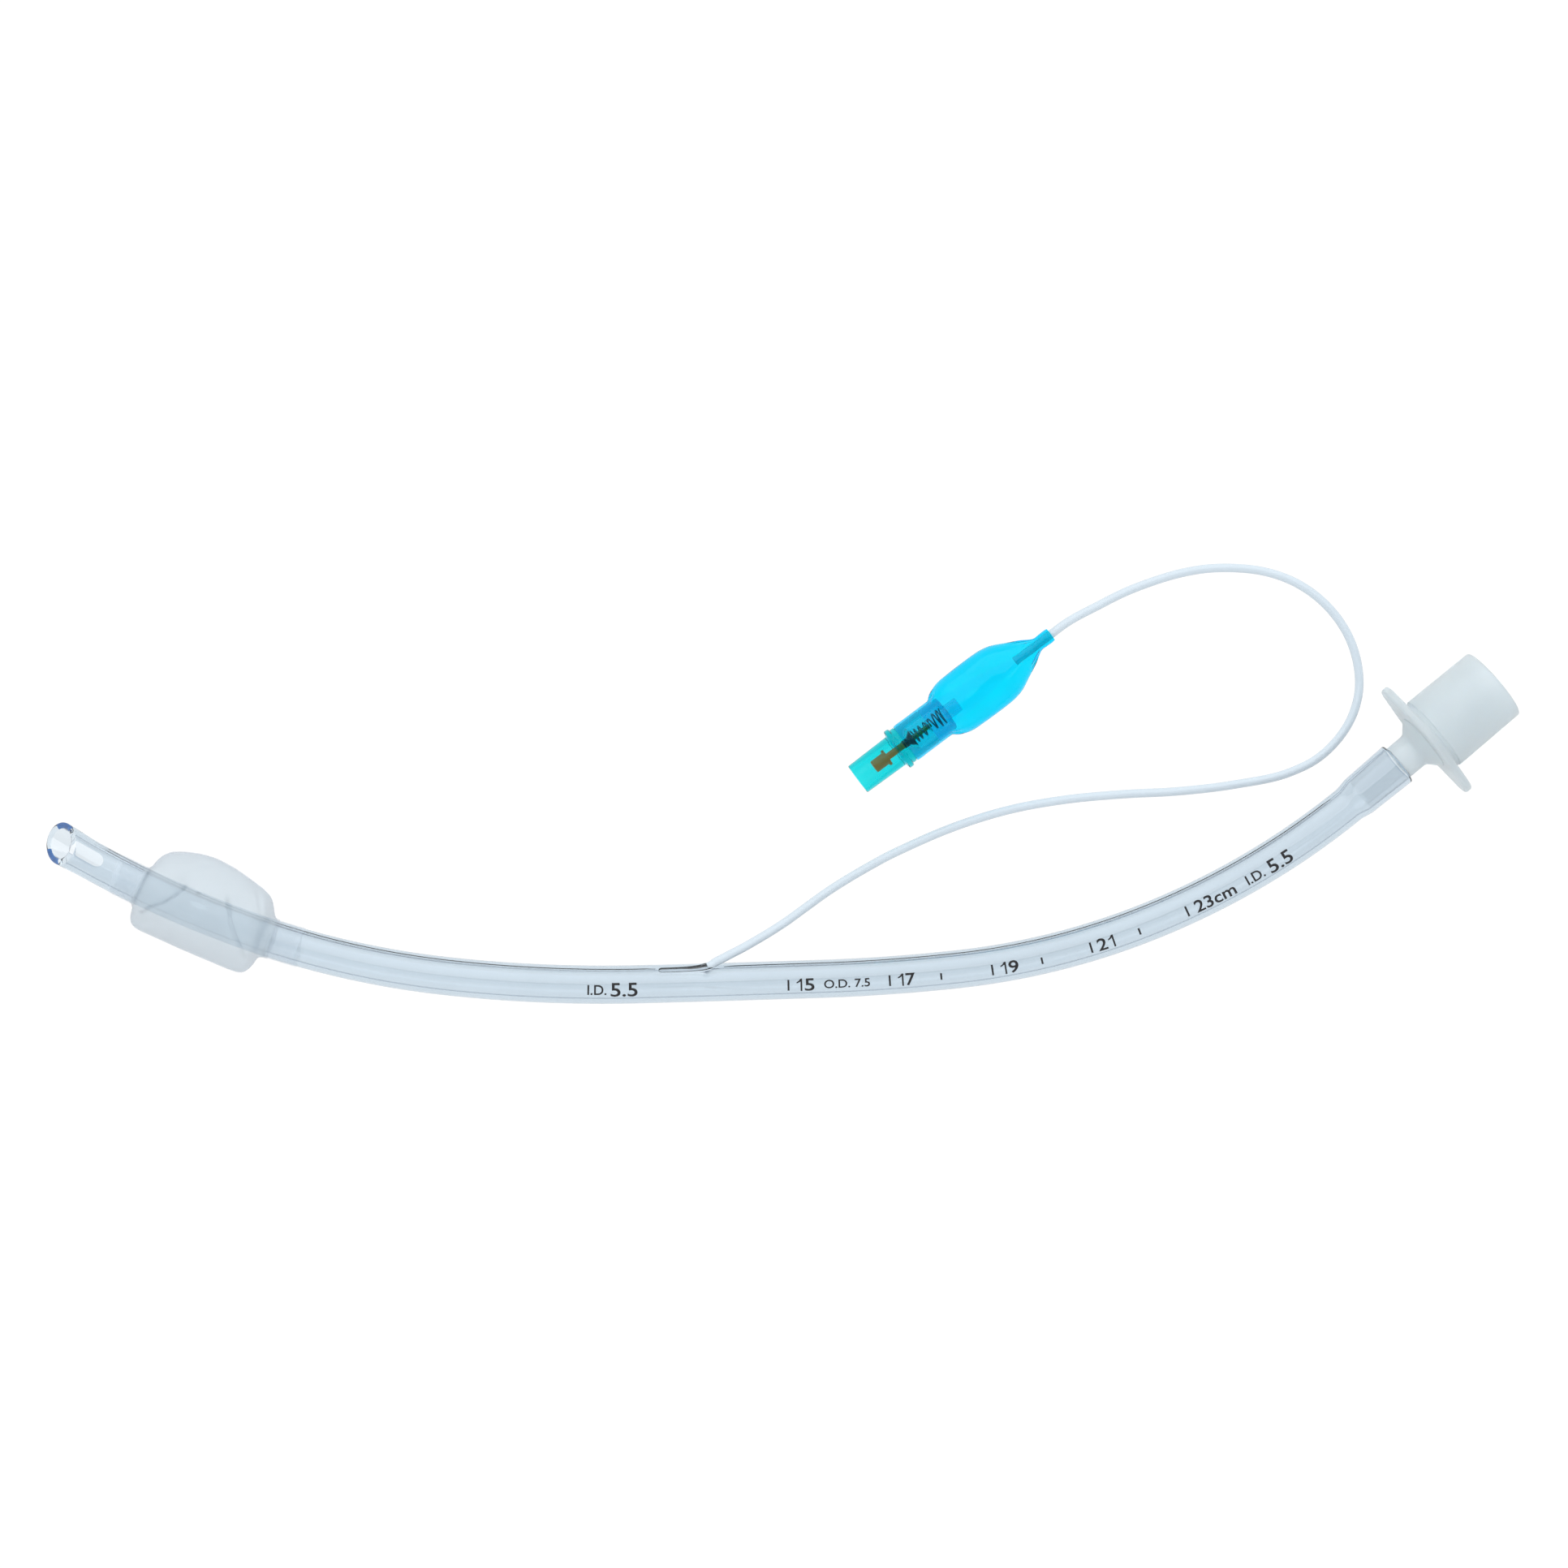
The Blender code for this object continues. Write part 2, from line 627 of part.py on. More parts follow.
def valve_housing(parent):
    mouth = BARREL_MOUTH_OUTSIDE / 2
    root = BARREL_ROOT_OUTSIDE / 2
    lug = LUG_OUTSIDE / 2
    body = HOUSING_OUTSIDE / 2
    hole = STEM_HOLE / 2
    chamber = CHAMBER_BORE / 2
    luer = LUER_BORE / 2
    luer_floor = luer - LUER_DEPTH * LUER_TAPER / 2
    collar = HOUSING_COLLAR_OUTSIDE / 2
    edge = HOUSING_EDGE
    outer = fillet((0.0, luer), (0.0, mouth), (BARREL_LENGTH, root), edge, 2)
    outer += [(BARREL_LENGTH - edge, root), (BARREL_LENGTH, root + edge)]
    outer += fillet((BARREL_LENGTH, root), (BARREL_LENGTH, lug), (LUG_BACK, lug), LUG_THICKNESS * 0.4, 3)
    outer += fillet((BARREL_LENGTH, lug), (LUG_BACK, lug), (LUG_BACK, collar), LUG_THICKNESS * 0.4, 3)
    outer += [(LUG_BACK, collar), (BALLOON_FROM_MOUTH, collar)]
    outer += [(BALLOON_FROM_MOUTH, body), (HOUSING_END, body)]
    inner = [
        (HOUSING_END, chamber),
        (SEAT_FROM_MOUTH + chamber - hole, chamber),
        (SEAT_FROM_MOUTH, hole),
        (LUER_DEPTH, hole),
        (LUER_DEPTH, luer_floor),
        (0.0, luer),
    ]
    teal = plastic("teal plastic", (0.0, 0.62, 0.68), 0.2, 0.6)
    add_object("valve_housing", turned(outer + inner, VALVE_SIDES), teal, parent)


def valve_retainer(parent):
    """The cup that closes the housing and holds the spring, with an air hole through its spigot."""
    body = HOUSING_OUTSIDE / 2
    spigot = RETAINER_SPIGOT / 2
    cup = RETAINER_BORE / 2
    hole = RETAINER_HOLE / 2
    end = RETAINER_END + RETAINER_SPIGOT_LENGTH
    corner = (RETAINER_END, body)
    profile = [(RETAINER_START, body)]
    profile += fillet((RETAINER_START, body), corner, (RETAINER_END, spigot), RETAINER_FILLET)
    profile += [(RETAINER_END, spigot), (end, spigot), (end, hole)]
    floor = RETAINER_END - RETAINER_FLOOR
    profile += [(floor, hole), (floor, cup), (RETAINER_START, cup)]
    blue = plastic("blue plastic", (0.0, 0.50, 0.72), 0.25, 0.6)
    add_object("valve_retainer", turned(profile, VALVE_SIDES), blue, parent)


def valve_stem(parent):
    """Head with two ears, the stem through its hole, and the guide inside the spring."""
    head = HEAD_OUTSIDE / 2
    stem = STEM_OUTSIDE / 2
    guide = GUIDE_OUTSIDE / 2
    guide_start = SEAL_BACK + BOND_GAP
    end = RETAINER_END - RETAINER_FLOOR - STEM_TRAVEL - GUIDE_CLEARANCE
    corner = (HEAD_FROM_MOUTH, head)
    profile = [(HEAD_FROM_MOUTH, 0.0)]
    profile += fillet((HEAD_FROM_MOUTH, 0.0), corner, (HEAD_END, head), HEAD_FILLET, 2)
    profile += [(HEAD_END, head), (HEAD_END, stem), (guide_start, stem)]
    profile += [(guide_start, guide), (end, guide), (end, 0.0)]
    brown = plastic("brown plastic", (0.18, 0.07, 0.02), 0.4)
    made = add_object("valve_stem", turned(profile, VALVE_SIDES // 2, closed=False), brown, parent)
    ears = bmesh.new()
    bmesh.ops.create_cube(ears, size=1.0)
    middle = Vector((HEAD_END - EAR_THICKNESS / 2, 0.0, 0.0))
    size = Matrix.Diagonal((EAR_THICKNESS, EAR_SPAN, EAR_SPAN / 4, 1.0))
    bmesh.ops.transform(ears, matrix=Matrix.Translation(middle) @ size, verts=ears.verts)
    bar = add_object("stem_ears", ears)
    bar.parent = parent
    combine(made, bar, "UNION")


def valve_seal(parent):
    """A cone that the spring holds against the seat, with a nose in the stem hole."""
    nose = SEAL_NOSE_OUTSIDE / 2
    rim = SEAL_OUTSIDE / 2
    hole = STEM_OUTSIDE / 2 + BOND_GAP
    cone_end = SEAL_FACE + rim - nose
    profile = [
        (SEAL_FACE - SEAL_NOSE_LENGTH, hole),
        (SEAL_FACE - SEAL_NOSE_LENGTH, nose),
        (SEAL_FACE, nose),
        (cone_end, rim),
        (SEAL_BACK, rim),
        (SEAL_BACK, hole),
    ]
    rubber = plastic("black rubber", (0.01, 0.015, 0.02), 0.6)
    add_object("valve_seal", turned(profile, VALVE_SIDES // 2), rubber, parent)


def valve_spring(parent):
    """A coil of round wire from the seal to the retainer, wider in its last turn."""
    wire = SPRING_WIRE / 2
    start = SEAL_BACK + SPRING_GAP + wire
    end = RETAINER_END - RETAINER_FLOOR - SPRING_GAP - wire
    plain = SPRING_OUTSIDE / 2 - wire
    wide = SPRING_END_OUTSIDE / 2 - wire
    per_turn = 12
    rings = []
    for step in range(SPRING_TURNS * per_turn + 1):
        share = step / (SPRING_TURNS * per_turn)
        turn = 2 * math.pi * SPRING_TURNS * share
        radius = plain + (wide - plain) * ease((share * SPRING_TURNS - SPRING_TURNS + 1.5) / 1.0)
        middle = Vector((start + (end - start) * share, radius * math.cos(turn), radius * math.sin(turn)))
        outward = Vector((0.0, math.cos(turn), math.sin(turn)))
        offsets = circle(wire, 5)
        rings.append([middle + outward * out + Vector((along, 0.0, 0.0)) for out, along in offsets])
    steel = plastic("steel", (0.10, 0.13, 0.15), 0.35, metallic=0.9)
    add_object("valve_spring", loft(rings), steel, parent)


def pilot_balloon(parent):
    """A flattened film bag with a neck over the valve and a neck around the line."""
    neck_bore = HOUSING_OUTSIDE / 2 + BOND_GAP
    line_bore = LINE_OUTSIDE / 2 + BOND_GAP
    body_start = BALLOON_FROM_MOUTH + BALLOON_NECK
    start = BALLOON_FROM_MOUTH + BOND_GAP
    rows = [(start, neck_bore, neck_bore), (body_start, neck_bore, neck_bore)]
    for share, width, height in BALLOON_OUTLINE:
        half_width = width * BALLOON_WIDTH / 2 - BALLOON_FILM
        half_height = height * BALLOON_HEIGHT / 2 - BALLOON_FILM
        rows.append((body_start + share * BALLOON_BODY, half_width, half_height))
    rows += [(BALLOON_END, line_bore, line_bore), (LINE_NECK_END, line_bore, line_bore)]

    def section(x, half_width, half_height, film):
        offsets = ring(half_width + film, half_height + film, BALLOON_SIDES)
        return [Vector((x, y, z)) for y, z in offsets]

    skins = [section(*row, BALLOON_FILM) for row in rows]
    skins += [section(*row, 0.0) for row in reversed(rows)]
    film = plastic("blue film", (0.0, 0.55, 0.85), 0.25, 0.6)
    add_object("pilot_balloon", loft(skins, closed=True), film, parent)


def smooth_route(points, step):
    """Points at even steps along a smooth curve through the route's own points."""
    gaps = [(b - a).length for a, b in zip(points, points[1:])]
    slopes = [(points[1] - points[0]) / gaps[0]]
    for before, here, after, gap, next_gap in zip(points, points[1:], points[2:], gaps, gaps[1:]):
        near, far = (here - before) / gap, (after - here) / next_gap
        slopes.append((near * next_gap + far * gap) / (gap + next_gap))
    slopes.append((points[-1] - points[-2]) / gaps[-1])
    fine = []
    for a, b, slope_a, slope_b, gap in zip(points, points[1:], slopes, slopes[1:], gaps):
        for part in range(20):
            t = part / 20
            bend_in = (t**3 - 2 * t**2 + t) * gap * slope_a + (t**3 - t**2) * gap * slope_b
            fine.append((1 - ease(t)) * a + ease(t) * b + bend_in)
    fine.append(points[-1])
    route = [fine[0]]
    run = 0.0
    for a, b in zip(fine, fine[1:]):
        run += (b - a).length
        if run >= step:
            route.append(b)
            run = 0.0
    if (fine[-1] - route[-1]).length < step / 3:
        route.pop()
    return route + [fine[-1]]


def inflation_line(valve_frame):
    """A fine tube from the notch, along the table and into the balloon's small neck."""
    notch = line_exit()
    straight = 2 * LINE_OUTSIDE
    leave = [notch @ Vector((x, 0.0, 0.0)) for x in (0.0, straight)]
    stations = (LINE_NECK_END + straight, LINE_NECK_END, BALLOON_END, BALLOON_END - LINE_INSERT)
    arrive = [valve_frame @ Vector((x, 0.0, 0.0)) for x in stations]
    route = smooth_route(leave + [Vector(point) for point in LINE_ROUTE] + arrive[:2], LINE_STEP) + arrive[2:]
    curve = bpy.data.curves.new("inflation_line", "CURVE")
    curve.dimensions = "3D"
    curve.bevel_depth = LINE_OUTSIDE / 2
    curve.bevel_resolution = 2
    curve.use_fill_caps = True
    spline = curve.splines.new("POLY")
    spline.points.add(len(route) - 1)
    for target, point in zip(spline.points, route):
        target.co = (*point, 1.0)
    curve.materials.append(plastic("soft clear vinyl", (0.80, 0.86, 0.91), 0.25, 0.7))
    bpy.context.scene.collection.objects.link(bpy.data.objects.new("inflation_line", curve))


def build():
    clear_scene()
    airway_tube()
    cuff()
    connector()
    valve = add_empty("pilot_valve_place", (*VALVE_MOUTH, VALVE_HEIGHT), VALVE_HEADING_DEGREES)
    bpy.context.view_layer.update()
    valve_housing(valve)
    valve_retainer(valve)
    valve_stem(valve)
    valve_seal(valve)
    valve_spring(valve)
    pilot_balloon(valve)
    inflation_line(valve.matrix_world)


build()
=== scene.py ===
import math

import bmesh
import bpy
import numpy as np
from mathutils import Matrix, Vector


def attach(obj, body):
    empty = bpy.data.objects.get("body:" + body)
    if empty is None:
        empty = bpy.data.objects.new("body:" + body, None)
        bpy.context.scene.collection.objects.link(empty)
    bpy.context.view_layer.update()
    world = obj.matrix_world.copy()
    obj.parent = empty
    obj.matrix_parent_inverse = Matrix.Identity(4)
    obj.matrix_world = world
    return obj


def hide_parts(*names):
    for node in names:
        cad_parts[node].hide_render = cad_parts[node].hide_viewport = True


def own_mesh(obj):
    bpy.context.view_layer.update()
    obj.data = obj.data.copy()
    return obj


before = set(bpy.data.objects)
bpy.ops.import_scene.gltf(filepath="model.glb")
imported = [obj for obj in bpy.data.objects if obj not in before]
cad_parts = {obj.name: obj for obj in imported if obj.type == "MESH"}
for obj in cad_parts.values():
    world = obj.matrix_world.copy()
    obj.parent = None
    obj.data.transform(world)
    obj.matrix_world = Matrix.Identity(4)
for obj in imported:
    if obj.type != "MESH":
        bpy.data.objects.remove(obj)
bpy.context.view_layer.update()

# Looks of a cuffed endotracheal tube with its pilot balloon, seen from straight above.
# Metres throughout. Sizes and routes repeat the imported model's. Distances run from the tube's tip.

MM = 0.001

# Camera

CAMERA_HEIGHT = 0.750
CAMERA_PLACE = (0.00016, 0.00065)
CAMERA_TURN = -39.8
SENSOR_WIDTH = 36.0
PHOTO_WIDTH_PX = 1932
FOCAL_LENGTH_PX = 4688.6

camera_data = bpy.data.cameras.new("camera")
camera_data.sensor_width = SENSOR_WIDTH
camera_data.lens = SENSOR_WIDTH * (FOCAL_LENGTH_PX / PHOTO_WIDTH_PX)
camera_data.clip_start = 0.01
camera_data.clip_end = 20.0
camera = bpy.data.objects.new("camera", camera_data)
camera.location = (*CAMERA_PLACE, CAMERA_HEIGHT)
camera.rotation_euler = (0.0, 0.0, math.radians(CAMERA_TURN))
bpy.context.scene.collection.objects.link(camera)
bpy.context.scene.camera = camera
bpy.context.scene.view_settings.view_transform = "Standard"

# Airway tube's axis

TUBE_BENDS = (
    # length in metres and turn in degrees of each arc, from the tip
    (0.0444, 12.2), (0.0390, 12.9), (0.0382, 7.8), (0.0349, 0.5),
    (0.0274, 4.5), (0.0374, 15.5), (0.0474, 18.0), (0.0110, 0.0),
)
MACHINE_END = (0.0946, -0.07285)
TUBE_LENGTH = sum(length for length, _ in TUBE_BENDS)
TUBE_RADIUS = 3.75 * MM
BORE_RADIUS = 2.75 * MM
WALL_MIDDLE = (TUBE_RADIUS + BORE_RADIUS) / 2
CUFF_AXIS_HEIGHT = 9.483 * MM
CONNECTOR_HEIGHT = 8.35 * MM
CUFF_END = 48.25 * MM
BELLY = (168.6 * MM, 188.6 * MM)
STRAIGHT = TUBE_LENGTH - TUBE_BENDS[-1][0]
TIP_ROLL = math.radians(8.0)
ROLLS = (
    # mm from the tip, then degrees from the inside of the bend up to the inflation channel
    (0, 7), (12, 9), (32, 20), (60, 26), (123, 33.5), (145, 29), (280, 27),
)


def ease(share):
    share = np.clip(share, 0.0, 1.0)
    return share * share * (3 - 2 * share)


def tube_arcs():
    """Start, place, heading and turn per metre of each arc, worked back from the machine end."""
    place, heading, start, arcs = np.array(MACHINE_END), 0.0, TUBE_LENGTH, []
    for length, degrees in reversed(TUBE_BENDS):
        turn = math.radians(degrees)
        if abs(turn) < 1e-9:
            place = place - length * np.array([math.cos(heading), math.sin(heading)])
        else:
            before = heading - turn
            chord = np.array([math.sin(heading) - math.sin(before), math.cos(before) - math.cos(heading)])
            place = place - chord * length / turn
        heading -= turn
        start -= length
        arcs.append((start, place[0], place[1], heading, turn / length))
    return np.array(arcs[::-1])


ARCS = tube_arcs()


def axis_height(distance):
    fall = ease((distance - CUFF_END) / (BELLY[0] - CUFF_END))
    rise = ease((distance - BELLY[1]) / (STRAIGHT - BELLY[1]))
    over_cuff = (CUFF_AXIS_HEIGHT - TUBE_RADIUS) * (1 - fall)
    over_flange = (CONNECTOR_HEIGHT - TUBE_RADIUS) * rise
    return TUBE_RADIUS + over_cuff + over_flange


def tube_frame(distance):
    """Centre, side (to the inside of the bend) and up vectors at an array of distances."""
    distance = np.asarray(distance, float)
    which = np.clip(np.searchsorted(ARCS[:, 0], distance, side="right") - 1, 0, len(ARCS) - 1)
    start, x, y, heading, bend = (ARCS[which, column] for column in range(5))
    length = distance - start
    flat = np.abs(bend) < 1e-9
    safe = np.where(flat, 1.0, bend)
    turned = heading + bend * length
    dx = np.where(flat, length * np.cos(heading), (np.sin(turned) - np.sin(heading)) / safe)
    dy = np.where(flat, length * np.sin(heading), (np.cos(heading) - np.cos(turned)) / safe)
    step = 1e-4
    slope = (axis_height(distance + step) - axis_height(distance - step)) / (2 * step)
    centre = np.stack([x + dx, y + dy, axis_height(distance)], -1)
    along = np.stack([np.cos(turned), np.sin(turned), slope], -1)
    along /= np.linalg.norm(along, axis=-1, keepdims=True)
    side = np.stack([-np.sin(turned), np.cos(turned), np.zeros_like(turned)], -1)
    return centre, side, np.cross(along, side)


def on_tube(distance, sideways, upward):
    """Points beside the axis, for arrays of the same shape."""
    centre, side, up = tube_frame(distance)
    return centre + side * np.asarray(sideways)[..., None] + up * np.asarray(upward)[..., None]


def roll(distance):
    """The tube lies a little turned about its own axis, more in the middle than at the tip."""
    stations, degrees = zip(*ROLLS)
    return np.radians(np.interp(np.asarray(distance) / MM, stations, degrees))


# Inflation line's route

VALVE_MOUTH = (11.8 * MM, -7.9 * MM, 4.45 * MM)
VALVE = Matrix.Translation(VALVE_MOUTH) @ Matrix.Rotation(math.radians(-2.9), 4, "Z")
INSERT = (
    # mm from the tip, then to the inside of the bend and up, with the line's radius there
    (124.85, 2.55, 2.15, 0.52), (127.1, 2.55, 2.15, 0.52), (129.5, 2.60, 2.15, 0.55),
    (131.8, 2.73, 2.14, 0.62), (133.4, 2.89, 2.12, 0.74), (134.26, 3.08, 2.09, 0.83),
    (135.05, 3.36, 2.05, 0.85),
)
LINE_ROUTE = (
    # places in mm from the notch to the balloon's neck
    (-32.68, -17.46, 6.75), (-30.93, -17.83, 6.55), (-29.2, -18.22, 6.1), (-26.6, -18.82, 5.5),
    (-23.9, -19.33, 4.7), (-20.3, -19.93, 3.7), (-16.5, -20.40, 2.75), (-12.6, -20.68, 2.0),
    (-6.0, -21.2, 1.15), (-1.5, -21.82, 0.93), (2.84, -22.56, 0.9), (7.1, -23.41, 0.9),
    (10.0, -24.15, 0.9), (20.7, -27.35, 0.9), (31.0, -31.65, 0.9), (40.7, -37.15, 0.9),
    (49.9, -43.45, 0.9), (58.9, -50.15, 0.9), (68.3, -56.25, 0.9), (78.2, -61.35, 0.9),
    (83.5, -62.65, 0.9), (89.1, -62.45, 0.9), (94.5, -60.75, 0.9), (98.9, -57.65, 0.9),
    (102.2, -53.15, 0.9), (104.2, -47.95, 0.9), (104.8, -42.65, 0.9), (104.2, -37.35, 0.9),
    (102.4, -32.25, 0.9), (99.5, -27.65, 0.9), (95.6, -23.55, 0.9), (91.2, -20.05, 0.9),
    (86.3, -17.25, 0.9), (81.1, -15.05, 0.95), (75.7, -13.25, 1.5), (70.1, -11.95, 2.6),
)
LINE_NECK_STATIONS = (0.0507, 0.0473, 0.0440, 0.0385)
CURVE_STEPS = 24


def run_along(path):
    """Each point's distance from the start of its path."""
    return np.concatenate([[0.0], np.cumsum(np.linalg.norm(np.diff(path, axis=0), axis=1))])


def hermite(points, step):
    """Points at even steps along a smooth curve through the given points, of any dimension."""
    points = np.asarray(points, float)
    gaps = np.linalg.norm(np.diff(points, axis=0), axis=1)
    rises = np.diff(points, axis=0) / gaps[:, None]
    slopes = np.vstack([rises[:1], np.zeros((len(points) - 2, points.shape[1])), rises[-1:]])
    weighted = rises[:-1] * gaps[1:, None] + rises[1:] * gaps[:-1, None]
    slopes[1:-1] = weighted / (gaps[:-1] + gaps[1:])[:, None]
    t = np.linspace(0, 1, CURVE_STEPS, endpoint=False)[:, None]
    fine = []
    for k, gap in enumerate(gaps):
        fine.append((1 - ease(t)) * points[k] + ease(t) * points[k + 1]
                    + gap * ((t**3 - 2 * t**2 + t) * slopes[k] + (t**3 - t**2) * slopes[k + 1]))
    fine = np.vstack(fine + [points[-1:]])
    run = run_along(fine)
    wanted = np.linspace(0.0, run[-1], max(2, round(run[-1] / step) + 1))
    return np.stack([np.interp(wanted, run, fine[:, axis]) for axis in range(points.shape[1])], -1)


def insert_path():
    """The line's end in the wall of the tube, on its inside of the bend."""
    stations, sideways, upward, _ = np.array(INSERT).T * MM
    return on_tube(stations, sideways, upward)


INSERT_PATH = insert_path()
BALLOON_PATH = np.array([VALVE @ Vector((t, 0.0, 0.0)) for t in LINE_NECK_STATIONS])
LINE_PATH = hermite(np.vstack([INSERT_PATH, np.array(LINE_ROUTE) * MM, BALLOON_PATH]), 0.8 * MM)


def line_radius(run):
    """The line is squeezed thinner in its pocket, at distances from its start."""
    stations, _, _, radii = np.array(INSERT).T
    return np.interp(run, (stations - stations[0]) * MM, radii * MM)


# Mesh helpers


def link(name, mesh):
    made = bpy.data.objects.new(name, mesh)
    bpy.context.scene.collection.objects.link(made)
    return made


def grid(rows, close_rows=False, caps=False, flip=False):
    """A bmesh of quads over rings of points, with its normals outward."""
    rows = np.asarray(rows)
    count, sides = rows.shape[:2]
    shape = bmesh.new()
    verts = [shape.verts.new(point) for point in rows.reshape(-1, 3)]
    for a in range(count if close_rows else count - 1):
        b = (a + 1) % count
        for i in range(sides):
            j = (i + 1) % sides
            corners = (a * sides + i, a * sides + j, b * sides + j, b * sides + i)
            shape.faces.new([verts[corner] for corner in corners])
    if caps:
        shape.faces.new(verts[:sides])
        shape.faces.new(verts[-sides:])
    bmesh.ops.recalc_face_normals(shape, faces=shape.faces)
    if flip:
        bmesh.ops.reverse_faces(shape, faces=shape.faces)
    return shape


def joined(shapes):
    """One bmesh from several, which it frees."""
    whole = bmesh.new()
    for shape in shapes:
        part = bpy.data.meshes.new("part")
        shape.to_mesh(part)
        shape.free()
        whole.from_mesh(part)
        bpy.data.meshes.remove(part)
    return whole


def to_object(name, *shapes, crease=35.0):
    """Joins bmeshes into one smooth-shaded object."""
    mesh = bpy.data.meshes.new(name)
    whole = joined(shapes)
    whole.to_mesh(mesh)
    whole.free()
    mesh.shade_smooth()
    mesh.set_sharp_from_angle(angle=math.radians(crease))
    return link(name, mesh)


def boolean(target, others, operation="DIFFERENCE", crease=35.0):
    """Cuts or joins other objects, applies the result and deletes them."""
    for other in others:
        modifier = target.modifiers.new(other.name, "BOOLEAN")
        modifier.operation = operation
        modifier.object = other
        modifier.solver = "EXACT"
    bpy.context.view_layer.update()
    ready = target.evaluated_get(bpy.context.evaluated_depsgraph_get())
    mesh = bpy.data.meshes.new_from_object(ready)
    target.modifiers.clear()
    target.data = mesh
    mesh.shade_smooth()
    mesh.set_sharp_from_angle(angle=math.radians(crease))
    for other in others:
        bpy.data.objects.remove(other, do_unlink=True)


def fillet(before, corner, after, radius, steps=5):
    """Points of the arc that rounds one corner of a profile."""
    before, corner, after = Vector(before), Vector(corner), Vector(after)
    back, ahead = (before - corner).normalized(), (after - corner).normalized()
    half = back.angle(ahead) / 2
    centre = corner + (back + ahead).normalized() * radius / math.sin(half)
    start = (corner + back * radius / math.tan(half) - centre).normalized()
    end = (corner + ahead * radius / math.tan(half) - centre).normalized()
    return [tuple(centre + start.slerp(end, step / steps) * radius) for step in range(steps + 1)]


def rounded(corners, closed=True):
    """A profile in mm from corners (x, radius, rounding)."""
    points = []
    count = len(corners)
    for k, (x, y, radius) in enumerate(corners):
        if radius and (closed or 0 < k < count - 1):
            before, after = corners[k - 1], corners[(k + 1) % count]
            points += fillet(before[:2], (x, y), after[:2], radius)
        else:
            points.append((x, y))
    return [(x * MM, y * MM) for x, y in points]


def spin(profile, matrix, sides=96, closed=True):
    """A profile of stations and radii, turned about the matrix's X axis."""
    angles = np.linspace(0, 2 * math.pi, sides, endpoint=False)
    rows = [[(x, r * math.cos(a), r * math.sin(a)) for a in angles] for x, r in profile]
    shape = grid(rows, close_rows=closed)
    if not closed:
        bmesh.ops.remove_doubles(shape, verts=shape.verts, dist=1e-7)
        bmesh.ops.recalc_face_normals(shape, faces=shape.faces)
    bmesh.ops.transform(shape, matrix=matrix, verts=shape.verts)
    return shape


def sweep(path, radii, sides=24):
    """Rings across a path, carried along it without twisting."""
    path = np.asarray(path)
    radii = np.broadcast_to(radii, len(path))
    ahead = np.gradient(path, axis=0)
    ahead /= np.linalg.norm(ahead, axis=1)[:, None]
    side = np.cross((0.0, 0.0, 1.0), ahead[0])
    angles = np.linspace(0, 2 * math.pi, sides, endpoint=False)
    rows = []
    for point, direction, radius in zip(path, ahead, radii):
        side = side - direction * side.dot(direction)
        side /= np.linalg.norm(side)
        up = np.cross(direction, side)
        rows.append(point + radius * (np.cos(angles)[:, None] * side + np.sin(angles)[:, None] * up))
    return np.array(rows)


def finish_piece(made, materials, body, node=None):
    """Gives a piece its materials and its body, and hides the solid that it replaces."""
    places = np.zeros(len(made.data.polygons), dtype=np.int32)
    made.data.polygons.foreach_get("material_index", places)
    made.data.materials.clear()
    for material in materials if isinstance(materials, tuple) else (materials,):
        made.data.materials.append(material)
    made.data.polygons.foreach_set("material_index", places)
    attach(made, body)
    if node:
        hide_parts(node)


# Materials

BUMP_DEPTH = 0.02 * MM
SCATTER_SHARES, SCATTER_REACH = (1.2, 1.1, 1.0), 1.5 * MM


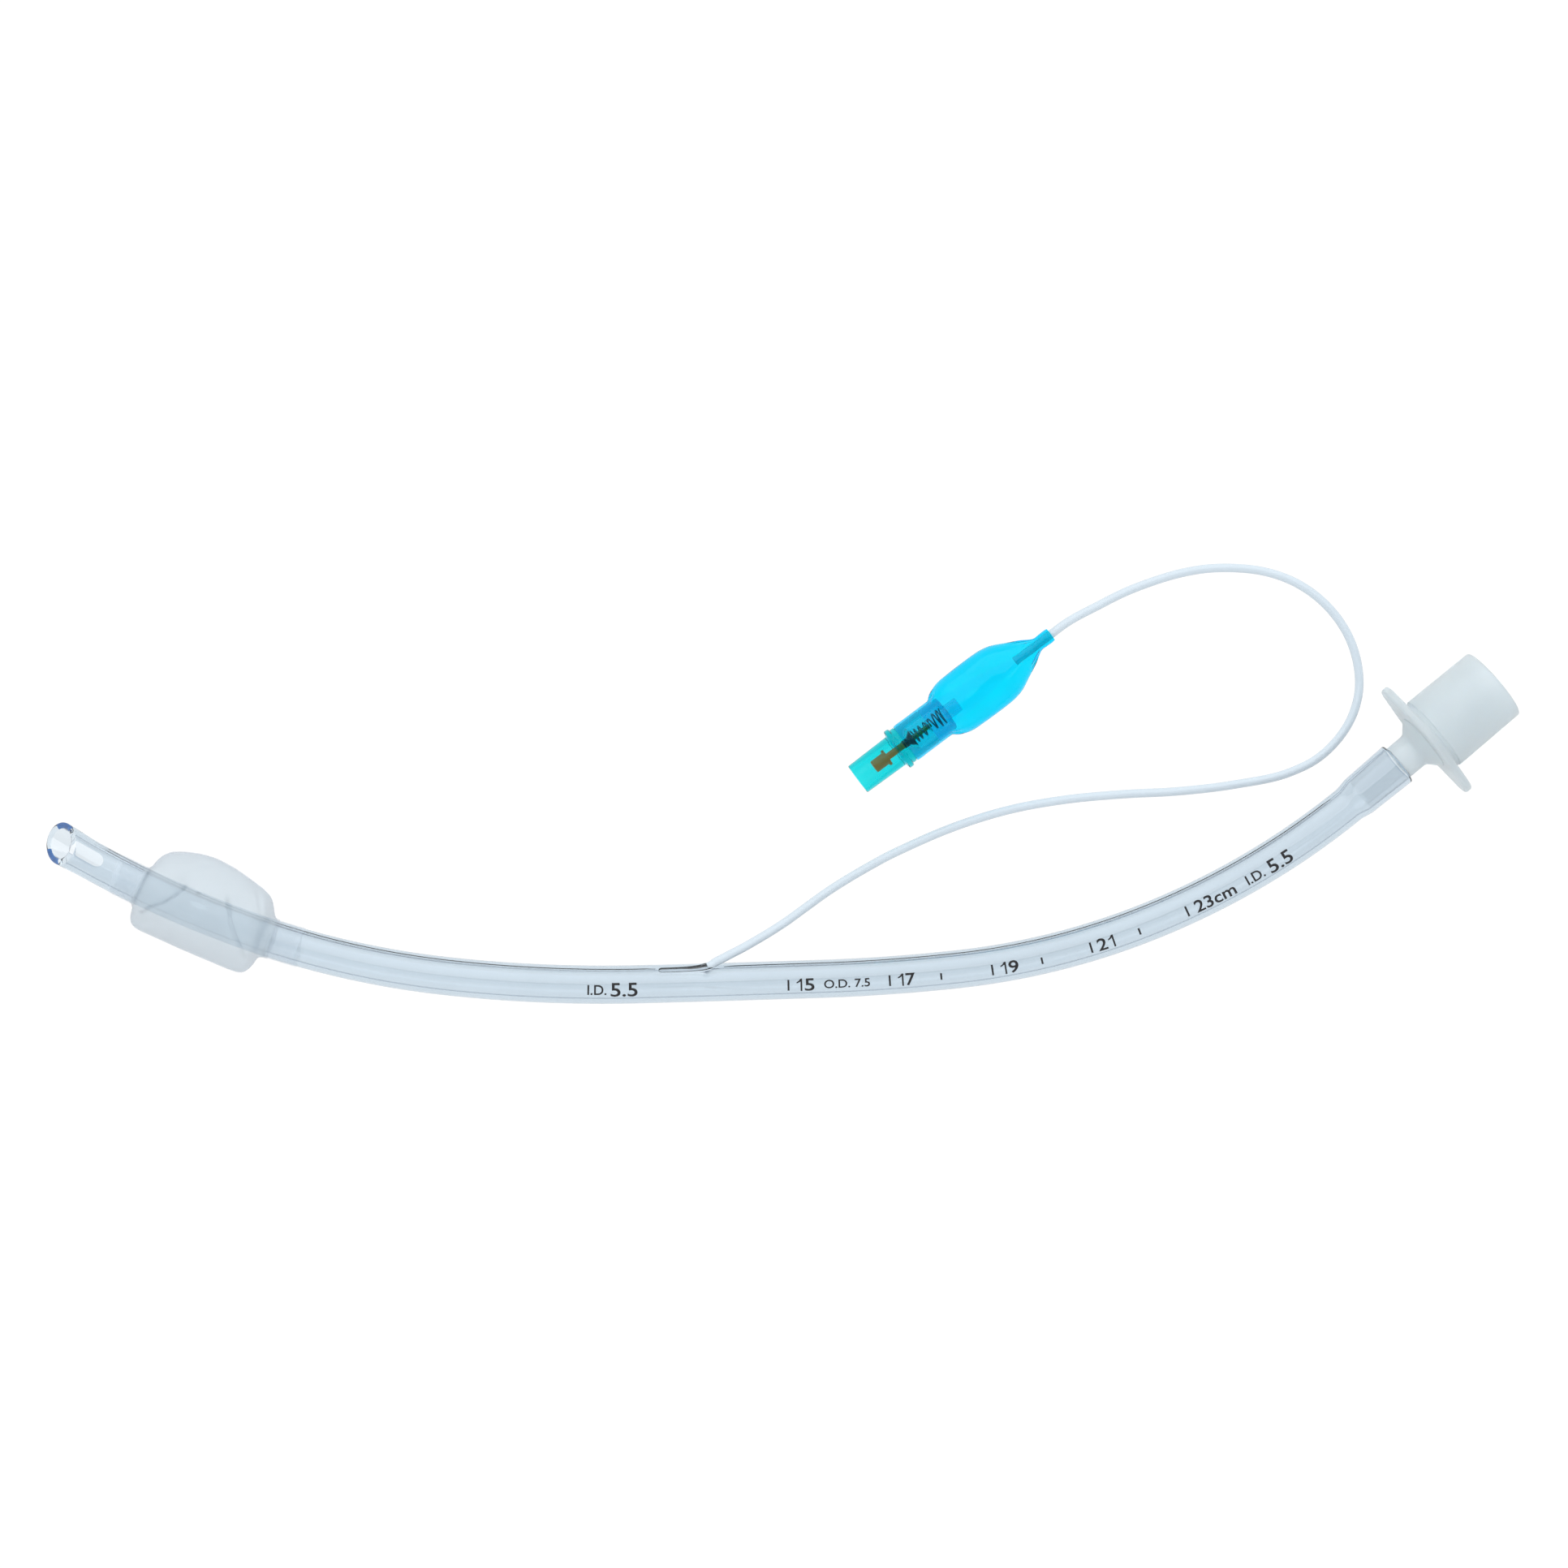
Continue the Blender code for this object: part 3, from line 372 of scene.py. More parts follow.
def surface(name, color, rough=(0.05, 0.1), transmission=0.0, ior=1.5, edge_shade=None, edge_shade_from=0.6,
            edge_shade_full=1.0, patches=(0.03, 160.0), bump=(0.0, 2000.0), absorb=None, specular=0.5,
            subsurface=0.0, metallic=0.0, alpha=1.0, painted_glow=0.0):
    """A Principled surface with uneven roughness, faint uneven colour, a fine bump and an optional
    darker tint where it is seen edge on, which is painted shade and painted reflection."""
    material = bpy.data.materials.new(name)
    material.use_nodes = True
    tree = material.node_tree
    nodes, links = tree.nodes, tree.links
    shader = nodes["Principled BSDF"]
    output = nodes["Material Output"]
    place = nodes.new("ShaderNodeTexCoord")

    def noise(scale, detail=3.0):
        made = nodes.new("ShaderNodeTexNoise")
        made.inputs["Scale"].default_value = scale
        made.inputs["Detail"].default_value = detail
        links.new(place.outputs["Object"], made.inputs["Vector"])
        return made.outputs["Fac"]

    def spread(value, low, high, start=0.3, end=0.7):
        made = nodes.new("ShaderNodeMapRange")
        made.inputs["From Min"].default_value = start
        made.inputs["From Max"].default_value = end
        made.inputs["To Min"].default_value = low
        made.inputs["To Max"].default_value = high
        links.new(value, made.inputs["Value"])
        return made.outputs["Result"]

    def blend(share, first, second):
        made = nodes.new("ShaderNodeMix")
        made.data_type = "RGBA"
        links.new(share, made.inputs["Factor"])
        for socket, value in ((made.inputs["A"], first), (made.inputs["B"], second)):
            if isinstance(value, tuple):
                socket.default_value = (*value, 1.0)
            else:
                links.new(value, socket)
        return made.outputs["Result"]

    amount, scale = patches
    darker = tuple(c * (1 - amount) for c in color)
    tint = blend(spread(noise(scale), 0.0, 1.0), color, darker)
    # painted shade: where the surface is seen edge on its colour darkens, standing in for shade and dark
    # reflections along silhouettes, bore walls and fold slopes
    if edge_shade:
        facing = nodes.new("ShaderNodeLayerWeight")
        facing.inputs["Blend"].default_value = 0.5
        tint = blend(spread(facing.outputs["Facing"], 0.0, 1.0, edge_shade_from, edge_shade_full), tint, edge_shade)
    links.new(tint, shader.inputs["Base Color"])
    links.new(spread(noise(scale * 2.3), *rough), shader.inputs["Roughness"])
    strength, fine = bump
    if strength:
        made = nodes.new("ShaderNodeBump")
        made.inputs["Strength"].default_value = strength
        made.inputs["Distance"].default_value = BUMP_DEPTH
        links.new(noise(fine, 4.0), made.inputs["Height"])
        links.new(made.outputs["Normal"], shader.inputs["Normal"])
    shader.inputs["Transmission Weight"].default_value = transmission
    shader.inputs["IOR"].default_value = ior
    shader.inputs["Specular IOR Level"].default_value = specular
    shader.inputs["Metallic"].default_value = metallic
    shader.inputs["Alpha"].default_value = alpha
    # painted light when the glow strength is above zero: the surface glows in its own colour
    shader.inputs["Emission Color"].default_value = (*color, 1.0)
    shader.inputs["Emission Strength"].default_value = painted_glow
    shader.inputs["Subsurface Weight"].default_value = subsurface
    shader.inputs["Subsurface Radius"].default_value = SCATTER_SHARES
    shader.inputs["Subsurface Scale"].default_value = SCATTER_REACH
    if absorb:
        # what one wall of the given thickness lets through
        thickness, through = absorb
        rates = [-math.log(max(part, 1e-3)) / thickness for part in through]
        volume = nodes.new("ShaderNodeVolumeAbsorption")
        density = max(rates)
        volume.inputs["Density"].default_value = density
        volume.inputs["Color"].default_value = (*[1 - rate / density for rate in rates], 1.0)
        links.new(volume.outputs["Volume"], output.inputs["Volume"])
    return material


VINYL = {"rough": (0.01, 0.04), "transmission": 1.0, "ior": 1.53}

# the tube's tint is partly the vinyl's own pale blue and partly painted shade, darkened to stand in for the
# shaded floor beneath the tube; its edge colour is painted shade along the silhouettes
clear_vinyl = surface("clear_vinyl", (0.57, 0.67, 0.75), **VINYL, edge_shade=(0.40, 0.50, 0.62),
                      edge_shade_from=0.68, edge_shade_full=0.95, patches=(0.02, 90.0))
# painted reflection: the bore's walls turn nearly black where seen edge on, drawing the dark lines along the
# bore that dark surroundings would reflect
bore_vinyl = surface("bore_vinyl", (0.98, 0.985, 0.99), **VINYL, edge_shade=(0.07, 0.10, 0.16),
                     edge_shade_from=0.54, edge_shade_full=0.82, patches=(0.02, 90.0))
# painted shade: the rim darkens where it is seen edge on
rim_vinyl = surface("rim_vinyl", (0.80, 0.87, 0.92), (0.02, 0.06), 1.0, 1.53, edge_shade=(0.30, 0.40, 0.55),
                    edge_shade_from=0.5, edge_shade_full=0.9, patches=(0.02, 300.0))
# painted light: a dark blue on parts of the tip's rim, standing in for light carried along the wall to its
# cut face
rim_painted_light = surface("rim_painted_light", (0.030, 0.140, 0.42), (0.15, 0.25), 0.15, 1.53, patches=(0.25, 900.0))
# painted shade: the channel's skin darkens where seen edge on, drawing the channel as a grey line
channel_vinyl = surface("channel_vinyl", (0.96, 0.97, 0.98), **VINYL, edge_shade=(0.45, 0.52, 0.60),
                        edge_shade_from=0.3, edge_shade_full=0.9, patches=(0.02, 90.0))
# painted shade: the film darkens where seen edge on, on the slopes of its folds and at its outline, and the
# collars darken at their outline
cuff_film = surface("cuff_film", (0.67, 0.765, 0.82), (0.30, 0.42), edge_shade=(0.44, 0.53, 0.61),
                    edge_shade_from=0.28, edge_shade_full=0.95, patches=(0.05, 150.0), alpha=0.30)
collar_film = surface("collar_film", (0.74, 0.84, 0.94), (0.20, 0.30), edge_shade=(0.30, 0.42, 0.58),
                      patches=(0.03, 150.0), alpha=0.08)
# painted shade: the opaque line darkens towards its sides where seen edge on
line_vinyl = surface("line_vinyl", (0.61, 0.69, 0.745), (0.18, 0.28), edge_shade=(0.42, 0.50, 0.56),
                     edge_shade_from=0.5, edge_shade_full=0.95, patches=(0.02, 300.0))
# painted shade: the line's end in the wall is nearly clear, with a dark outline where seen edge on
line_end_vinyl = surface("line_end_vinyl", (0.85, 0.90, 0.94), (0.12, 0.22), edge_shade=(0.20, 0.25, 0.32),
                         edge_shade_from=0.7, patches=(0.02, 300.0), alpha=0.04)
milky_plastic = surface("milky_plastic", (0.78, 0.85, 0.875), (0.42, 0.52), 0.45,
                        patches=(0.03, 120.0), bump=(0.08, 500.0), subsurface=0.4)
# painted shade: the spigot inside the tube is nearly clear, with a dark outline where seen edge on
spigot_plastic = surface("spigot_plastic", (0.80, 0.87, 0.92), (0.30, 0.40), edge_shade=(0.04, 0.07, 0.11),
                         edge_shade_from=0.22, edge_shade_full=0.9, patches=(0.03, 120.0), alpha=0.07)
balloon_film = surface("balloon_film", (0.04, 0.95, 1.0), (0.02, 0.05), 1.0, 1.22, specular=0.3,
                       patches=(0.03, 200.0), absorb=(0.6 * MM, (0.02, 0.78, 0.985)))
teal_plastic = surface("teal_plastic", (0.55, 0.97, 0.98), (0.02, 0.04), 1.0, 1.22, specular=0.3,
                       patches=(0.03, 200.0), absorb=(2.0 * MM, (0.10, 0.83, 0.86)))
blue_plastic = surface("blue_plastic", (0.12, 0.93, 0.985), (0.02, 0.04), 1.0, 1.16, specular=0.3,
                       patches=(0.03, 200.0), absorb=(2.0 * MM, (0.05, 0.82, 0.90)))
# painted light: the stem glows red though it is no lamp, to show brighter through the teal housing
brown_plastic = surface("brown_plastic", (1.0, 0.075, 0.010), (0.32, 0.46), patches=(0.18, 900.0),
                        bump=(0.3, 2500.0), painted_glow=1.0)
black_rubber = surface("black_rubber", (0.005, 0.018, 0.030), (0.5, 0.65), patches=(0.3, 900.0),
                       bump=(0.5, 3000.0))
spring_steel = surface("spring_steel", (0.16, 0.19, 0.21), (0.28, 0.42), metallic=1.0,
                       patches=(0.2, 1500.0), bump=(0.3, 4000.0))
print_ink = surface("print_ink", (0.006, 0.006, 0.008), (0.42, 0.60), patches=(0.4, 1500.0),
                    bump=(0.3, 3000.0))

# Airway tube

SOCKET_START = 270.3 * MM
SOCKET_TAPER = 3.4 * MM
SPIGOT_RADII = (3.25 * MM, 3.55 * MM)
SPIGOT_GAP = 0.1 * MM
WALL_AREA = TUBE_RADIUS**2 - BORE_RADIUS**2
BEVEL = math.tan(math.radians(48.0))
WARP_END = 14 * MM
RIM_ROUND, END_ROUND = 0.42 * MM, 0.3 * MM
RIM_RINGS, END_RINGS = 9, 7
TUBE_SIDES = 96
# how much wider the bore and the outside are at the tip, and where that fades out
BORE_FLARE, SKIN_FLARE = 0.12 * MM, 0.22 * MM
FLARE_START, FLARE_FADE = 4.5 * MM, 5.5 * MM
PAST_FLARE = 100 * MM
CHANNEL_RADIUS = 0.29 * MM
CHANNEL_SPANS = ((9.5 * MM, 124.3 * MM), (137.6 * MM, 265.0 * MM))
EYE_PLACE, EYE_LENGTH, EYE_WIDTH = 8.6 * MM, 7.4 * MM, 3.3 * MM
EYE_LEVELS = (-6 * MM, -1 * MM)
PORT_PLACE, PORT_RADIUS = 32.4 * MM, 0.45 * MM
PORT_REACH = (3.3 * MM, 4.4 * MM)
NOTCH_START, NOTCH_END = 122 * MM, 139 * MM
NOTCH_GAP = 0.045 * MM
NOTCH_TIP_RADIUS = 0.3 * MM
ROUTE_IN_NOTCH = 3
NOTCH_BULGE = (
    # mm from the tip, and how far in mm the wall stands out there over the line's end
    (123.6, 0.0), (125.0, 0.20), (131.0, 0.20), (132.6, 0.32), (134.1, 0.60), (135.4, 0.35), (137.0, 0.0),
)
BULGE_ANGLE, BULGE_WIDTH = math.radians(40.0), math.radians(26.0)
# degrees round the tip's rim between which it takes a painted blue, standing in for light carried along the
# wall to its cut face
TIP_PAINTED_LIGHT = ((-50.0, 18.0), (151.0, 180.0), (-180.0, -140.0))
# which material each part of the tube's skin takes, after the outside, whose place is 0
BORE, RIM, RIM_PAINTED_LIGHT, CHANNEL = range(1, 5)


def tip_flare(distance, amount):
    return amount * (1 - ease((distance - FLARE_START) / FLARE_FADE))


def bore_radius(distance):
    """The bore opens a little at the tip, and over the connector at the other end."""
    wide = ease((distance - SOCKET_START + SOCKET_TAPER) / SOCKET_TAPER)
    along = np.clip((distance - SOCKET_START) / (TUBE_LENGTH - SOCKET_START), 0, 1)
    spigot = SPIGOT_RADII[0] + (SPIGOT_RADII[1] - SPIGOT_RADII[0]) * along
    return BORE_RADIUS + (spigot + SPIGOT_GAP - BORE_RADIUS) * wide + tip_flare(distance, BORE_FLARE)


def outside_radius(distance):
    """Where the tube is stretched over the connector, its wall keeps its area and gets thinner."""
    plain = np.where(distance > PAST_FLARE, bore_radius(distance), BORE_RADIUS)
    return np.sqrt(WALL_AREA + plain**2) + tip_flare(distance, SKIN_FLARE)


def bulge(distance, angle):
    """How far the wall stands out over the line's end."""
    stations, grown = zip(*NOTCH_BULGE)
    off = np.angle(np.exp(1j * (angle - BULGE_ANGLE)))
    return np.interp(distance / MM, stations, grown) * MM * np.exp(-((off / BULGE_WIDTH) ** 4))


def tube_stations():
    """Distances of the tube's rings, which are closer at the tip, at the notch and over the connector."""
    step, fine_step = 1.4 * MM, 0.35 * MM
    stretched = SOCKET_START - SOCKET_TAPER
    return np.concatenate([
        WARP_END * np.linspace(0, 1, 15)[1:] ** 1.2,
        np.arange(15.2 * MM, NOTCH_START, step),
        np.arange(NOTCH_START, NOTCH_END, fine_step),
        np.arange(139.4 * MM, stretched - 1 * MM, step),
        np.linspace(stretched - 0.6 * MM, SOCKET_START + 0.3 * MM, 16),
        np.linspace(SOCKET_START + 1.2 * MM, TUBE_LENGTH - 0.35 * MM, 9),
    ])


def tube_grid():
    angles = np.linspace(0, 2 * math.pi, TUBE_SIDES, endpoint=False)
    stations = tube_stations()

    def start(radius):
        """Where the bevel cuts a cylinder of this radius."""
        return (TUBE_RADIUS + radius * np.sin(angles - TIP_ROLL)) / BEVEL

    def row(distance, radius):
        return on_tube(distance, radius * np.cos(angles), radius * np.sin(angles))

    def warped(station, first):
        """Rings near the tip lean over to follow the bevel."""
        if station >= WARP_END:
            return np.full(TUBE_SIDES, station)
        return first + station * (WARP_END - first) / WARP_END

    rows = []
    near, far = BORE_RADIUS + BORE_FLARE, TUBE_RADIUS + SKIN_FLARE
    inner_start, outer_start = start(near) + RIM_ROUND, start(far) + RIM_ROUND
    for station in stations[::-1]:
        distance = warped(station, inner_start)
        rows.append(row(distance, bore_radius(distance)))
    for angle in np.linspace(0, math.pi, RIM_RINGS):
        radius = (near + far) / 2 - (far - near) / 2 * math.cos(angle)
        rows.append(row(start(radius) + RIM_ROUND * (1 - math.sin(angle)), radius))
    for station in stations:
        distance = warped(station, outer_start)
        rows.append(row(distance, outside_radius(distance) + bulge(distance, angles)))
    near, far = float(bore_radius(TUBE_LENGTH)), float(outside_radius(TUBE_LENGTH))
    for angle in np.linspace(0, math.pi, END_RINGS):
        radius = (near + far) / 2 + (far - near) / 2 * math.cos(angle)
        rows.append(row(np.full(TUBE_SIDES, TUBE_LENGTH - END_ROUND * (1 - math.sin(angle))), radius))
    shape = grid(rows, close_rows=True)
    for k, face in enumerate(shape.faces):
        band, place = divmod(k, TUBE_SIDES)
        degrees = (math.degrees(angles[place]) + 180) % 360 - 180
        if band < len(stations) or band == len(rows) - 1:
            face.material_index = BORE
        elif band < len(stations) + RIM_RINGS - 1:
            face.material_index = RIM_PAINTED_LIGHT if any(low <= degrees <= high for low, high in TIP_PAINTED_LIGHT) else RIM
    return shape


def capsule(length, width, steps=16):
    """A slot's outline round the origin."""
    radius, reach = width / 2, length / 2 - width / 2
    angles = [math.pi * (step / steps - 0.5) for step in range(steps + 1)]
    front = [(reach + radius * math.cos(a), radius * math.sin(a)) for a in angles]
    return front + [(-x, -y) for x, y in front]


def eye_cutter():
    """A slot through the lower wall, opposite the bevel."""
    outline = capsule(EYE_LENGTH, EYE_WIDTH)
    centre, side, up = tube_frame(EYE_PLACE)
    along = np.cross(side, up)
    turned_side = side * math.cos(TIP_ROLL) + up * math.sin(TIP_ROLL)
    turned_up = up * math.cos(TIP_ROLL) - side * math.sin(TIP_ROLL)
    rows = [[centre + along * x + turned_side * y + turned_up * level for x, y in outline]
            for level in EYE_LEVELS]
    return to_object("eye_cutter", grid(rows, caps=True))


def notch_cutter():
    """The pocket that the line's end is glued into, open to the outside."""
    path = hermite(np.vstack([INSERT_PATH, np.array(LINE_ROUTE[:ROUTE_IN_NOTCH]) * MM]), 0.5 * MM)
    radii = line_radius(run_along(path)) + NOTCH_GAP
    radii[0] = NOTCH_TIP_RADIUS
    return to_object("notch_cutter", grid(sweep(path, radii, 32), caps=True))


def port_cutter():
    """The hole from the channel out into the cuff."""
    centre, side, up = tube_frame(PORT_PLACE)
    angle = float(roll(PORT_PLACE))
    out = side * math.cos(angle) + up * math.sin(angle)
    path = [centre + out * reach for reach in PORT_REACH]
    return to_object("port_cutter", grid(sweep(path, PORT_RADIUS, 20), caps=True))


def channel(start, end):
    """A closed skin inside the wall, turned inside out, around the air in the channel."""
    stations = np.linspace(start, end, round((end - start) / (2 * MM)))
    angle = roll(stations)
    path = on_tube(stations, WALL_MIDDLE * np.cos(angle), WALL_MIDDLE * np.sin(angle))
    radii = np.full(len(path), CHANNEL_RADIUS)
    radii[0] = radii[-1] = CHANNEL_RADIUS * 0.4
    shape = grid(sweep(path, radii, 16), caps=True, flip=True)
    for face in shape.faces:
        face.material_index = CHANNEL
    return shape


TUBE_SKINS = (clear_vinyl, bore_vinyl, rim_vinyl, rim_painted_light, channel_vinyl)
tube = to_object("tube", tube_grid())
cutters = ((eye_cutter(), RIM), (notch_cutter(), CHANNEL), (port_cutter(), CHANNEL))
for solid, skin in ((tube, None), *cutters):
    for material in TUBE_SKINS:
        solid.data.materials.append(material)
    if skin is not None:
        solid.data.polygons.foreach_set("material_index", [skin] * len(solid.data.polygons))
boolean(tube, [cutter for cutter, _ in cutters])
cut = bmesh.new()
cut.from_mesh(tube.data)
bpy.data.objects.remove(tube, do_unlink=True)
tube = to_object("tube", cut, *[channel(*span) for span in CHANNEL_SPANS])
finish_piece(tube, TUBE_SKINS, "root", "airway_tube")

# Print

TICKS = (
    # mm from the tip, length in mm across the tube
    (150.1, 2.2), (170.0, 2.2), (180.05, 1.35), (190.1, 2.2), (200.0, 1.35), (209.9, 2.2), (219.8, 1.35),
    (229.75, 2.2),
)
TICK_HALF_WIDTH = 0.19
WORDS = (
    # text, start and end in mm from the tip, height in mm of its capitals
    ("I.D.", 110.9, 114.6, 2.05), ("5.5", 115.4, 120.6, 2.85),
    ("1", 151.7, 152.8, 2.55), ("5", 153.3, 155.2, 2.55), ("O.D. 7.5", 157.1, 166.1, 1.75),
    ("1", 171.6, 172.7, 2.55), ("7", 173.1, 174.95, 2.55),
    ("1", 191.75, 192.9, 2.55), ("9", 193.35, 195.3, 2.55),
    ("2", 211.2, 213.1, 2.55), ("1", 213.5, 214.65, 2.55),
    ("23cm", 231.45, 239.95, 2.55), ("I.D.", 242.5, 246.3, 2.05), ("5.5", 247.4, 252.4, 2.85),
)
PRINT_SIDE = -0.9 * MM
PRINT_CUTS = np.arange(-2.0, 2.01, 0.2) * MM
INK_LIFT = 0.012 * MM
INK_DEPTH = 0.02 * MM
STROKE_GROWTH = 0.014


def lay_on_tube(shape, piece_name):
    """Wraps a flat sheet, X along the tube and Y to the inside of the bend, round the tube's skin."""
    for level in PRINT_CUTS:
        geometry = shape.verts[:] + shape.edges[:] + shape.faces[:]
        bmesh.ops.bisect_plane(shape, geom=geometry, plane_co=(0, level, 0), plane_no=(0, 1, 0), dist=1e-7)
    for vert in shape.verts:
        around = math.pi / 2 - (vert.co.y + PRINT_SIDE) / TUBE_RADIUS
        radius = TUBE_RADIUS + INK_LIFT
        vert.co = on_tube(vert.co.x, radius * math.cos(around), radius * math.sin(around))
    made = to_object(piece_name, shape)
    thicken = made.modifiers.new("ink", "SOLIDIFY")
    thicken.thickness = INK_DEPTH
    thicken.offset = 1.0
    return made


def one_shape(start, end, height):
    """A figure one with its flag, which the built-in letters lack."""
    wide = end - start
    stem = ((0.70, 0.0), (1.0, 0.0), (1.0, 1.0), (0.70, 1.0))
    flag = ((0.38, 0.70), (0.70, 0.79), (0.70, 1.0), (0.38, 0.83))
    flag_end = ((0.0, 0.64), (0.38, 0.70), (0.38, 0.83), (0.0, 0.74))
    shape = bmesh.new()
    for corners in (stem, flag, flag_end):
        places = [((start + x * wide) * MM, (y - 0.5) * height * MM, 0.0) for x, y in corners]
        shape.faces.new([shape.verts.new(place) for place in places])
    return shape


def word_shape(text, start, end, height):
    """Flat letters, stretched to the length and height that they have on the tube."""
    if text == "1":
        return one_shape(start, end, height)
    curve = bpy.data.curves.new(text, "FONT")
    curve.body = text
    curve.size = 1.0
    curve.offset = STROKE_GROWTH
    holder = link("word", curve)
    bpy.context.view_layer.update()
    mesh = bpy.data.meshes.new_from_object(holder.evaluated_get(bpy.context.evaluated_depsgraph_get()))
    bpy.data.objects.remove(holder, do_unlink=True)
    shape = bmesh.new()
    shape.from_mesh(mesh)
    bpy.data.meshes.remove(mesh)
    bmesh.ops.remove_doubles(shape, verts=shape.verts, dist=1e-5)
    left, right = min(v.co.x for v in shape.verts), max(v.co.x for v in shape.verts)
    low, high = min(v.co.y for v in shape.verts), max(v.co.y for v in shape.verts)
    for vert in shape.verts:
        vert.co.x = (start + (end - start) * (vert.co.x - left) / (right - left)) * MM
        vert.co.y = height * ((vert.co.y - low) / (high - low) - 0.5) * MM
        vert.co.z = 0.0
    return shape


def tick_shape(station, height):
    shape = bmesh.new()
    signs = ((-1, -1), (1, -1), (1, 1), (-1, 1))
    corners = [(station + x * TICK_HALF_WIDTH, y * height / 2) for x, y in signs]
    shape.faces.new([shape.verts.new((x * MM, y * MM, 0.0)) for x, y in corners])
    return shape


print_shapes = [tick_shape(*tick) for tick in TICKS] + [word_shape(*word) for word in WORDS]
marks = lay_on_tube(joined(print_shapes), "depth_marks")
finish_piece(marks, print_ink, "root")

# Cuff

CUFF_INSIDE = (
    # mm from the tip, reach from the axis to the inside of the bend
    (21.2, 4.0), (21.4, 4.17), (21.9, 5.01), (22.35, 6.57), (22.85, 7.48), (23.35, 8.06), (23.85, 8.50),
    (24.85, 9.07), (26.85, 9.88), (28.85, 10.42), (30.85, 10.77), (32.85, 10.90), (34.85, 10.77),
    (36.85, 10.55), (38.8, 10.14), (40.8, 9.63), (42.8, 9.06), (43.8, 8.74), (44.8, 8.31),
    (45.8, 7.75), (46.3, 7.27), (46.8, 6.57), (47.3, 5.66), (47.8, 4.72), (48.3, 4.16), (48.6, 4.0),
)
CUFF_OUTSIDE = (
    # the same on the outside of the bend
    (21.2, 4.0), (21.4, 4.21), (21.9, 4.77), (22.35, 6.49), (22.85, 7.28), (23.35, 7.60), (23.85, 7.78),
    (24.85, 7.91), (26.85, 7.90), (28.85, 7.94), (30.85, 7.97), (32.85, 8.06), (34.85, 8.09), (36.85, 8.15),
    (38.8, 8.18), (40.8, 8.25), (42.8, 8.34), (43.8, 8.34), (44.8, 8.29), (45.8, 7.83), (46.3, 7.17),
    (46.8, 6.07), (47.3, 4.60), (47.8, 4.14), (48.3, 4.05), (48.6, 4.0),
)
COLLAR_SKIN = 4.0 * MM
COLLAR_RINGS = 8
# each collar's ends in mm from the tip
NEAR_COLLAR, FAR_COLLAR = (15.95, 20.8), (49.1, 54.5)
CUFF_FILM = 0.12 * MM
CUFF_SIDES, CUFF_RINGS = 144, 110
CREASES = (
    # a fold in the film's upper side as points (mm from the tip, mm to the inside), its half width and
    # depth in mm
    (((24.4, -4.3), (25.8, -2.2), (28.0, -0.15), (29.4, 2.0), (30.0, 3.2), (30.5, 4.45)), 0.34, 0.62),
    (((29.2, 4.3), (29.2, 6.5), (30.5, 8.5), (32.6, 9.7)), 0.36, 0.26),
    (((38.9, 5.2), (40.0, 3.3), (41.2, 1.2), (42.6, -0.8), (44.2, -2.8), (45.6, -4.9)), 0.36, 0.58),
    (((40.4, 3.7), (42.7, 0.7), (43.9, -1.3), (45.1, -3.5)), 0.9, 0.25),
    (((43.5, 8.1), (44.7, 6.6), (46.0, 4.5)), 0.34, 0.30),
    (((24.0, 4.6), (24.8, 5.7)), 0.25, 0.25),
    (((24.2, -6.0), (26.4, -5.1), (28.3, -4.5)), 0.35, 0.15),
)


def near_line(x, y, points):
    """Distance of points from a polyline."""
    best = np.full(np.shape(x), 1e9)
    for (ax, ay), (bx, by) in zip(points, points[1:]):
        dx, dy = bx - ax, by - ay
        t = np.clip(((x - ax) * dx + (y - ay) * dy) / (dx * dx + dy * dy), 0, 1)
        best = np.minimum(best, np.hypot(x - ax - t * dx, y - ay - t * dy))
    return best


def cuff_profile(points):
    """Evenly spaced points of one side of the film."""
    fine = hermite(points, 0.1)
    pick, places = np.linspace(0, 1, CUFF_RINGS), np.linspace(0, 1, len(fine))
    return np.stack([np.interp(pick, places, fine[:, k]) for k in (0, 1)], -1)


